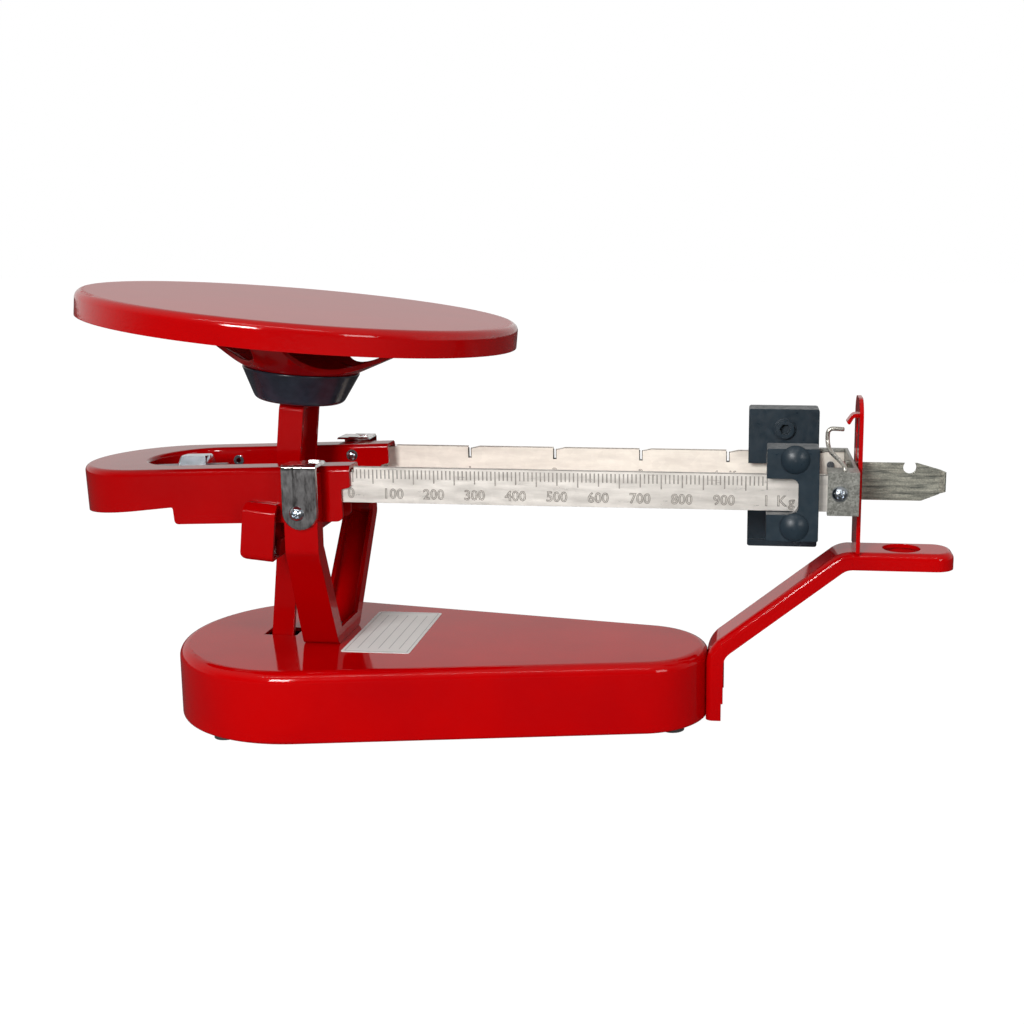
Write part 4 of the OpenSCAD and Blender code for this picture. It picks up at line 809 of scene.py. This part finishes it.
@dataclass
class Studio:
    """White floor and surroundings with soft lamps.

    Only the camera sees them white. Light and reflections come from a room that is dim in front of the scale and
    pale behind it, and reflections see the floor darker, which keeps the paint deep.
    """

    floor_half: float = 6.0
    floor_shade: float = 0.13
    floor_glow: float = 1.14
    bounce: float = 0.5
    mirrored: float = 0.10
    back_span: Pair = (-0.6, 0.5)
    front_level: float = 0.06
    back_level: float = 0.70
    top_span: Pair = (0.3, 0.9)
    top_level: float = 0.41
    tint: Colour = (1.0, 0.99, 0.97)
    lamps: tuple[SoftBox, ...] = (
        SoftBox("key_lamp", (-0.35, -1.35, 0.62), 0.38, 17.5),
        SoftBox("fill_lamp", (1.1, -1.15, 0.5), 0.45, 4.5),
        SoftBox("strip_lamp", (-0.1, -0.95, 1.35), 1.6, 3.0, height=0.05),
    )

    def build(self) -> None:
        """Makes the world, the floor and the lamps, and sets the plain view."""
        bpy.context.scene.view_settings.view_transform = "Standard"
        self.build_world()
        self.build_floor()
        for lamp in self.lamps:
            lamp.build()

    def build_world(self) -> None:
        """Level goes from front to back along Y, then to top_level as Z rises; the camera sees plain white."""
        world = bpy.data.worlds.new("studio_room")
        world.use_nodes = True
        tree = world.node_tree
        tree.nodes.clear()
        split = node(tree, "ShaderNodeSeparateXYZ", {"Vector": node(tree, "ShaderNodeTexCoord", {})["Generated"]})
        back = ranged(tree, split["Y"], *self.back_span, self.front_level, self.back_level, "SMOOTHSTEP")
        rise = ranged(tree, split["Z"], *self.top_span, 0.0, 1.0)
        level = node(tree, "ShaderNodeMix", {0: rise, 2: back, 3: self.top_level}, data_type="FLOAT")[0]
        room = node(tree, "ShaderNodeBackground", {"Color": (*self.tint, 1.0), "Strength": level})
        white = node(tree, "ShaderNodeBackground", {"Color": (1, 1, 1, 1)})
        seen = node(tree, "ShaderNodeLightPath", {})["Is Camera Ray"]
        mixed = node(tree, "ShaderNodeMixShader", {0: seen, 1: room["Background"], 2: white["Background"]})
        node(tree, "ShaderNodeOutputWorld", {"Surface": mixed["Shader"]})
        bpy.context.scene.world = world

    def build_floor(self) -> None:
        """Makes a pale floor that looks almost white to the camera and keeps a soft shadow."""
        half = self.floor_half
        mesh = bpy.data.meshes.new("studio_floor")
        mesh.from_pydata([(-half, -half, 0), (half, -half, 0), (half, half, 0), (-half, half, 0)], [], [(0, 1, 2, 3)])
        material = bpy.data.materials.new("floor_paper")
        material.use_nodes = True
        tree = material.node_tree
        tree.nodes.clear()
        ray = node(tree, "ShaderNodeLightPath", {})
        grey = ranged(tree, ray["Is Glossy Ray"], 0.0, 1.0, self.bounce, self.mirrored)
        paper = node(tree, "ShaderNodeBsdfDiffuse", {"Color": grey})
        glow = node(tree, "ShaderNodeEmission", {"Color": (1, 1, 1, 1), "Strength": self.floor_glow})
        share = ranged(tree, ray["Is Camera Ray"], 0.0, 1.0, 0.0, 1.0 - self.floor_shade)
        mixed = node(tree, "ShaderNodeMixShader", {0: share, 1: paper["BSDF"], 2: glow["Emission"]})
        node(tree, "ShaderNodeOutputMaterial", {"Surface": mixed["Shader"]})
        mesh.materials.append(material)
        floor = bpy.data.objects.new("studio_floor", mesh)
        bpy.context.scene.collection.objects.link(floor)


# ---- pieces of the scale ----


def numerals(text: str, height: float, bead: float, middle: Point) -> Shell:
    """Numerals drawn by their outline alone, as a stamp leaves them, facing -Y.

    Args:
        text: The figures.
        height: Height of a nought in millimetres.
        bead: Radius of the line in millimetres.
        middle: Where the middle of the line of text stands, at its foot.

    Returns:
        The outline as a thin square bead along each figure's edge.
    """
    nought = 0.68
    curve = bpy.data.curves.new("figures", "FONT")
    curve.body = text
    curve.align_x = "CENTER"
    curve.resolution_u = 3
    curve.fill_mode = "NONE"
    curve.bevel_resolution = 0
    curve.bevel_depth = bead * nought / height
    holder = bpy.data.objects.new("figures", curve)
    bpy.context.scene.collection.objects.link(holder)
    drawn = bpy.data.meshes.new_from_object(holder.evaluated_get(bpy.context.evaluated_depsgraph_get()))
    points = np.empty(len(drawn.vertices) * 3, np.float32)
    drawn.vertices.foreach_get("co", points)
    points = points.reshape(-1, 3).astype(float) * height / nought
    faces = [tuple(p.vertices) for p in drawn.polygons]
    bpy.data.objects.remove(holder)
    bpy.data.curves.remove(curve)
    bpy.data.meshes.remove(drawn)
    upright = np.stack([points[:, 0], -points[:, 2], points[:, 1]], axis=1)
    return Shell(upright + np.array(middle), faces)


@dataclass
class BeamGraduations:
    """Marks and figures pressed into the front face of the two beams, drawn dark as painted shade, and painted shade
    along the beams' top edges.
    """

    front_y: float = -40.2
    rear_y: float = 38.2
    sheet: float = 2.0
    mark_top: float = 131.9
    division: float = 2.0
    divisions: int = 100
    short: float = 4.4
    hundred: float = 6.3
    fifty: float = 7.0
    mark_half: float = 0.31
    inside: float = 0.2
    proud: float = 0.03
    figure_foot: float = 117.9
    figure_height: float = 4.7
    figure_bead: float = 0.17
    unit_figures: tuple[tuple[str, float, float], ...] = (("1", 199.7, 4.9), ("K", 206.9, 4.9), ("g", 211.6, 4.7))
    rear_foot: float = 115.9
    rear_height: float = 4.2
    rear_bead: float = 0.15
    rear_first: float = -5.6
    rear_unit: Pair = (-6.5, 4.0)
    notch_pitch: float = 46.4
    notch_start: float = 40.8
    notch_count: int = 4
    notch_half: float = 0.9
    notch_depth: float = 6.4
    notch_skin: float = 0.35
    front_span: Pair = (0.6, 229.0)
    rear_start: float = -2.0
    rear_top: float = 131.4
    front_top: float = 133.2
    lead_drop: float = 1.1
    lead_length: float = 4.6
    edge_width: float = 0.32
    clear: float = 0.02

    def marks(self) -> Shell:
        """Draws the marks of the front beam, laid in a dark finish as painted shade of the pressed ticks.

        Returns:
            One upright line each division; the hundreds are longer, and the fifties are longest.
        """
        number = np.arange(self.divisions + 1)
        length = np.where(number % 10 == 5, self.fifty, np.where(number % 10 == 0, self.hundred, self.short))
        x, ones = number * self.division, np.ones(len(number))
        low = np.stack([x - self.mark_half, (self.front_y - self.proud) * ones, self.mark_top - length], axis=1)
        high = np.stack([x + self.mark_half, (self.front_y + self.inside) * ones, self.mark_top * ones], axis=1)
        return boxes(low, high)

    def notch_edges(self) -> Shell:
        """Draws painted shade on the cut faces of the rear beam's notches.

        Returns:
            A thin strip down each side of a notch, and one across its foot.
        """
        half, skin = self.notch_half, self.notch_skin
        top, foot = self.rear_top - self.lead_drop, self.rear_top - self.notch_depth
        y0, y1 = self.rear_y + self.clear, self.rear_y + self.sheet - self.clear
        low, high = [], []
        for x in self.notch_start + np.arange(self.notch_count) * self.notch_pitch:
            low += [(x - half, y0, foot), (x + half - skin, y0, foot), (x - half, y0, foot)]
            high += [(x - half + skin, y1, top), (x + half, y1, top), (x + half, y1, foot + skin)]
        return boxes(np.array(low), np.array(high))

    def edge_line(self, x0: float, x1: float, face: float, beam_top: float, lead: float) -> Shell:
        """Draws a thin dark line under the top edge of a beam: painted shade along that edge.

        Args:
            x0: Left end.
            x1: Right end.
            face: Where the beam's front face lies along Y.
            beam_top: Height of the edge.
            lead: How far the edge dips at its left end, rising evenly over lead_length.

        Returns:
            A strip edge_width high that follows the edge.
        """
        x = np.unique(np.clip([x0, x0 + self.lead_length, x1], x0, x1))
        top = beam_top - lead * np.clip(1 - (x - x0) / self.lead_length, 0, 1)
        front, back, low = face - self.clear + 0 * x, face + self.inside + 0 * x, top - self.edge_width
        corners = ((front, low), (back, low), (back, top), (front, top))
        return closed_tube(np.stack([np.stack([x, y, z], axis=1) for y, z in corners], axis=1))

    def edges(self) -> Shell:
        """Draws the painted shade along the top edges of both beams.

        Returns:
            The lines, the rear one broken at each notch.
        """
        lines = [
            self.edge_line(*self.front_span, self.front_y, self.front_top, 0.0),
            self.edge_line(self.rear_start, self.notch_start - self.notch_half, self.rear_y, self.rear_top, 0.0),
        ]
        for k in range(self.notch_count):
            x0 = self.notch_start + self.notch_half + k * self.notch_pitch
            x1 = x0 + self.notch_pitch - 2 * self.notch_half
            lines.append(self.edge_line(x0, x1, self.rear_y, self.rear_top, self.lead_drop))
        return joined(lines)

    def build(self) -> None:
        """Lays the edges, the marks and the figures on both beams."""
        add_piece("beam_edge_shade_lines", self.edges(), Body.BEAM, FIGURE_SHADOW, flat=True)
        add_piece("front_beam_marks", self.marks(), Body.BEAM, MARK_SHADE, flat=True)
        spots = [("0", -1.0, self.figure_height), *self.unit_figures]
        spots += [(str(100 * k), 20.0 * k - 0.2, self.figure_height) for k in range(1, 10)]
        # The figures' dark outlines are painted shade along the edges of the pressed figures.
        figures = [numerals(t, h, self.figure_bead, (x, self.front_y, self.figure_foot)) for t, x, h in spots]
        add_piece("front_beam_figures", joined(figures), Body.BEAM, FIGURE_SHADOW, flat=True)
        rear = [(str(k), self.rear_first + k * self.notch_pitch) for k in range(self.notch_count)]
        last = self.rear_first + self.notch_count * self.notch_pitch
        rear += [(t, last + away) for t, away in zip(("4", "Kg"), self.rear_unit)]
        figures = [numerals(t, self.rear_height, self.rear_bead, (x, self.rear_y, self.rear_foot)) for t, x in rear]
        add_piece("rear_beam_figures", joined(figures), Body.BEAM, FIGURE_SHADOW, flat=True)
        add_piece("notch_edges", self.notch_edges(), Body.BEAM, RECESS_SHADE, flat=True)


@dataclass
class PanScrew:
    """A domed screw with a cross recess."""

    head_radius: float
    head_height: float
    shank_radius: float
    shank_length: float
    recess_reach: float = 0.56
    recess_half: float = 0.11
    recess_depth: float = 1.3
    steps: int = 56

    def head(self) -> Shell:
        """Makes the head's top on a disc grid: a cap of a sphere less a cross whose arms run out to nothing.

        Returns:
            The dome and the flat underside, which share their rim.
        """
        line = np.linspace(-1, 1, self.steps + 1)
        u, v = np.meshgrid(line, line, indexing="ij")
        x, y = u * np.sqrt(1 - v * v / 2), v * np.sqrt(1 - u * u / 2)
        r2 = np.clip(x * x + y * y, 0, 1)
        ball = (1 + self.head_height**2 / self.head_radius**2) / (2 * self.head_height / self.head_radius)
        dome = (np.sqrt(np.maximum(ball * ball - r2, 0)) - math.sqrt(max(ball * ball - 1, 0))) * self.head_radius
        beside = np.minimum(np.abs(x), np.abs(y))
        arm = np.maximum(np.abs(x), np.abs(y))
        cross = 1 - step(beside, self.recess_half * 0.75, self.recess_half * 1.3)
        cross = cross * (1 - step(arm, self.recess_reach * 0.7, self.recess_reach))
        x, y = x * self.head_radius, y * self.head_radius
        layers = (dome - cross * self.recess_depth, np.zeros_like(x))
        return joined([grid_shell(np.stack([x, y, z], axis=-1), False) for z in layers])

    def shell(self) -> Shell:
        """Head and shank, standing on Z = 0 with the shank below."""
        radius, foot = self.shank_radius, -self.shank_length
        return joined([self.head(), turned([(0, 0.2), (radius, 0.2), (radius, foot), (0, foot)])])


@dataclass
class Screws:
    """The screws of the bearing caps and of the end bracket."""

    cap_place: Point = (-24.6, 52.0, 111.8)
    cap_turns: Pair = (33.0, 12.0)
    bracket_place: Point = (234.0, 41.8, 124.4)
    bracket_turns: Pair = (52.0, 80.0)

    def build(self) -> None:
        """Puts one screw on each side, each with its recess turned as it happened to stop."""
        cap = PanScrew(head_radius=3.75, head_height=2.3, shank_radius=1.99, shank_length=6.7)
        bracket = PanScrew(head_radius=3.9, head_height=2.4, shank_radius=1.99, shank_length=5.0)
        for name, screw, body, (x, y, z), turns in (
            ("cap_screws", cap, Body.BASE, self.cap_place, self.cap_turns),
            ("bracket_screws", bracket, Body.BEAM, self.bracket_place, self.bracket_turns),
        ):
            shells = []
            for side, turn in zip((-1, 1), np.radians(turns)):
                along = (math.cos(turn), 0.0, math.sin(turn))
                shells.append(screw.shell().moved((x, side * y, z), (0, side, 0), along))
            add_piece(name, joined(shells), body, BRIGHT_ZINC, (name,))


@dataclass
class BearingCaps:
    """The bent sheet caps over the fulcrum's bearings: a tongue with a crease, folded over at the top."""

    middle: float = -23.2
    half: float = 9.0
    tip_half: float = 0.05
    low: float = 103.3
    top: float = 135.5
    face: float = 52.0
    sheet: float = 1.5
    reach: float = 14.5
    crease: float = -2.6
    crease_half: float = 0.4
    set_back: float = 0.4
    edge: float = 0.6
    edge_fall: float = 0.9
    fold: float = 1.6
    steps: int = 72
    lip_low: Point = (-7.0, -4.0, -0.01)
    lip_high: Point = (-2.0, -2.8, 0.85)

    def shell(self) -> Shell:
        """Makes the front cap. Rows run up the tongue, round the fold and back over the bearing; columns cross it.

        Returns:
            A closed sheet: half width at height h above the foot is the root of h(2 half - h) up to half, then
            half; its outside lies set_back deeper beyond the crease, and rounds off at its edge.
        """
        straight = np.linspace(self.half, self.top - self.low - self.fold, 10)[1:]
        rise = np.concatenate([self.half * (1 - np.cos(np.linspace(0, math.pi / 2, 12))), straight])
        turn = np.linspace(0, math.pi / 2, 7)[1:]
        back = np.linspace(self.fold, self.reach, 6)[1:]
        upright, beyond = np.zeros(len(rise)), np.zeros(len(turn) + len(back))
        wide = np.sqrt(np.clip(rise * (2 * self.half - rise), 0, None))
        wide = np.concatenate([np.where(rise >= self.half, self.half, wide), beyond + self.half])
        wide[0] = self.tip_half
        depth = np.concatenate([upright, self.fold * (1 - np.cos(turn)), back])
        over = self.top - self.fold + self.fold * np.sin(turn)
        height = np.concatenate([self.low + rise, over, self.top + 0 * back])
        lean = np.concatenate([upright, turn, math.pi / 2 + 0 * back])[:, None]
        x = wide[:, None] * np.linspace(-1, 1, self.steps + 1)
        drop = np.concatenate([np.clip(self.half - rise, 0, None), beyond])
        inset = self.half - np.hypot(x, drop[:, None])
        dip = (1 - step(x, self.crease - self.crease_half, self.crease + self.crease_half)) * self.set_back
        dip = dip + (1 - step(inset, 0.0, self.edge)) * self.edge_fall
        y, z = depth[:, None] - self.face, height[:, None]
        outside, inside = (
            np.stack([self.middle + x, y + sunk * np.cos(lean), z - sunk * np.sin(lean)], axis=-1)
            for sunk in (dip, self.sheet + 0 * x)
        )
        return closed_tube(np.concatenate([outside, inside[:, ::-1]], axis=1))

    def lip(self) -> Shell:
        """The raised lip beside the slot, measured from the fold's far right corner."""
        corner = np.array([self.middle + self.half, self.reach - self.face, self.top])
        return boxes((corner + self.lip_low)[None], (corner + self.lip_high)[None])

    def build(self) -> None:
        """Makes the front cap, and the rear one as its mirror image."""
        whole = joined([self.shell(), self.lip()])
        for name, side in (("front", 1.0), ("rear", -1.0)):
            placed = Shell(whole.points * np.array([1.0, side, 1.0]), whole.faces)
            add_piece(name + "_cap_sheet", placed, Body.BASE, CAP_ZINC, (name + "_bearing_cap",))


@dataclass
class PivotEnds:
    """The domed inner ends of the pivot pins, each in a dark ring of painted shade where the pin leaves a gap in its
    bore.
    """

    inner_y: float = 27.0
    proud: float = 1.4
    radius: float = 2.4
    dome: tuple[Pair, ...] = ((0.0, -0.2), (1.0, -0.2), (1.0, 0.05), (0.85, 0.5), (0.5, 0.85), (0.0, 0.95))
    ring_gap: float = 0.02
    ring_width: float = 0.7
    ring_height: float = 0.12
    sides: int = 28
    places: tuple[Pair, ...] = ((-21.0, 127.2), (-44.5, 107.1))

    def build(self) -> None:
        """Puts a dome on each pin and a ring of painted shade on the arm round it, on both sides."""
        dome = turned([(share * self.radius, height) for share, height in self.dome], self.sides)
        inner, outer, height = self.radius + self.ring_gap, self.radius + self.ring_width, self.ring_height
        ring = turned([(inner, 0), (inner, height), (outer, height), (outer, 0), (inner, 0)], self.sides)
        spots = [(side, x, z) for side in (-1, 1) for x, z in self.places]
        domes = [dome.moved((x, side * (self.inner_y - self.proud), z), (0, -side, 0)) for side, x, z in spots]
        rings = [ring.moved((x, side * self.inner_y, z), (0, -side, 0)) for side, x, z in spots]
        add_piece("pivot_domes", joined(domes), Body.BEAM, BRIGHT_ZINC)
        add_piece("pivot_shade_rings", joined(rings), Body.BEAM, RECESS_SHADE)


@dataclass
class LockWire:
    """The bent wire that locks the beam: out of the flange, over to the middle, up and across."""

    radius: float = 1.1
    knots: tuple[Point, ...] = (
        (236.4, -35.5, 130.7), (236.4, -35.5, 133.6), (236.3, -35.2, 135.6), (235.8, -32.5, 137.0),
        (234.4, -24.0, 137.6), (232.4, -12.5, 138.2), (230.9, -4.6, 139.4), (230.1, -1.5, 142.2),
        (229.9, -1.0, 145.6), (230.2, -1.0, 148.0), (231.6, -1.0, 149.3), (234.2, -1.0, 149.4), (237.6, -1.0, 149.2),
    )

    def build(self) -> None:
        """Sweeps the wire along its knots."""
        shell = tube(smooth_path(self.knots), self.radius)
        add_piece("bent_lock_wire", shell, Body.WIRE, WIRE_ZINC, ("lock_wire",))


@dataclass
class BalanceNut:
    """The hexagonal nut that trims the balance, with chamfered ends, in the yoke's sloping frame."""

    start: float = -103.0
    length: float = 15.0
    flats: float = 14.0
    bore: float = 2.55
    chamfer: float = 1.3
    end_share: float = 0.95
    end_slope: float = 1.6
    rod_z: float = -6.4
    yoke_z: float = 133.7
    slope: float = 2.2
    sides: int = 72

    def build(self) -> None:
        """Radius at angle a is half the flats over cos(a folded to 30 degrees), held below a cone at each end."""
        angle = np.linspace(0, 2 * math.pi, self.sides, endpoint=False)
        folded = np.mod(angle + math.pi / 6, math.pi / 3) - math.pi / 6
        hexagon = self.flats / 2 / np.cos(folded)
        along = np.concatenate([np.linspace(0, self.chamfer, 5), self.length - np.linspace(self.chamfer, 0, 5)])
        end = np.minimum(along, self.length - along)
        outside = np.minimum(hexagon, (self.flats / 2 * self.end_share + end * self.end_slope)[:, None])
        bore = np.full((1, len(angle)), self.bore)
        radius = np.concatenate([bore, outside, bore, bore, bore])
        along = np.concatenate([[0.0], along, [self.length, self.length, 0.0]])[:, None]
        grid = np.stack([radius * np.cos(angle), radius * np.sin(angle), along + 0 * radius], axis=-1)
        lean = math.radians(self.slope)
        out = np.array([math.cos(lean), 0.0, math.sin(lean)])
        up = np.array([-math.sin(lean), 0.0, math.cos(lean)])
        origin = np.array([0, 0, self.yoke_z]) + self.start * out + self.rod_z * up
        nut = grid_shell(grid, True).moved(origin, out, up)
        add_piece("hexagon_nut", nut, Body.NUT, BRIGHT_ZINC, ("balance_nut",))


@dataclass
class LabelPrint:
    """A thin border and a few ruled lines on the blank label."""

    low: tuple[float, float] = (-13.0, -29.5)
    high: tuple[float, float] = (22.5, 42.5)
    top: float = 36.2
    thick: float = 0.02
    border: float = 1.6
    line: float = 0.25
    rules: int = 5
    rule_inset: float = 5.0

    def build(self) -> None:
        """Lays the border's four sides and the rules as thin strips."""
        x0, y0 = (corner + self.border for corner in self.low)
        x1, y1 = (corner - self.border for corner in self.high)
        w, inset = self.line, self.rule_inset
        strips = [(x0, y0, x1, y0 + w), (x0, y1 - w, x1, y1), (x0, y0, x0 + w, y1), (x1 - w, y0, x1, y1)]
        strips += [(x, y0 + inset, x + w, y1 - inset) for x in np.linspace(x0, x1, self.rules + 2)[1:-1]]
        flat, level = np.array(strips), np.full(len(strips), self.top)
        low = np.column_stack([flat[:, :2], level])
        high = np.column_stack([flat[:, 2:], level + self.thick])
        add_piece("label_rules", boxes(low, high), Body.BASE, LABEL_INK, flat=True)


def dress_nodes(nodes: dict[str, bpy.types.Object]) -> None:
    """Gives each solid its finish.

    Args:
        nodes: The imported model's nodes by name.
    """
    for finish, names in NODE_FINISHES.items():
        for name in names:
            for slot in nodes[name].material_slots:
                slot.material = finish.material()
    bare = set(nodes) - {name for names in NODE_FINISHES.values() for name in names}
    if bare:
        raise ValueError(f"no finish for {sorted(bare)}")


def main() -> None:
    """Builds the studio and every piece, and notes the sizes."""
    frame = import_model()
    PhotoCamera().build()
    Studio().build()
    dress_nodes(frame["nodes"])
    for part in (BeamGraduations(), Screws(), BearingCaps(), PivotEnds(), LockWire(), BalanceNut(), LabelPrint()):
        part.build()


if __name__ == "__main__":
    logging.basicConfig(level=logging.INFO)
    main()
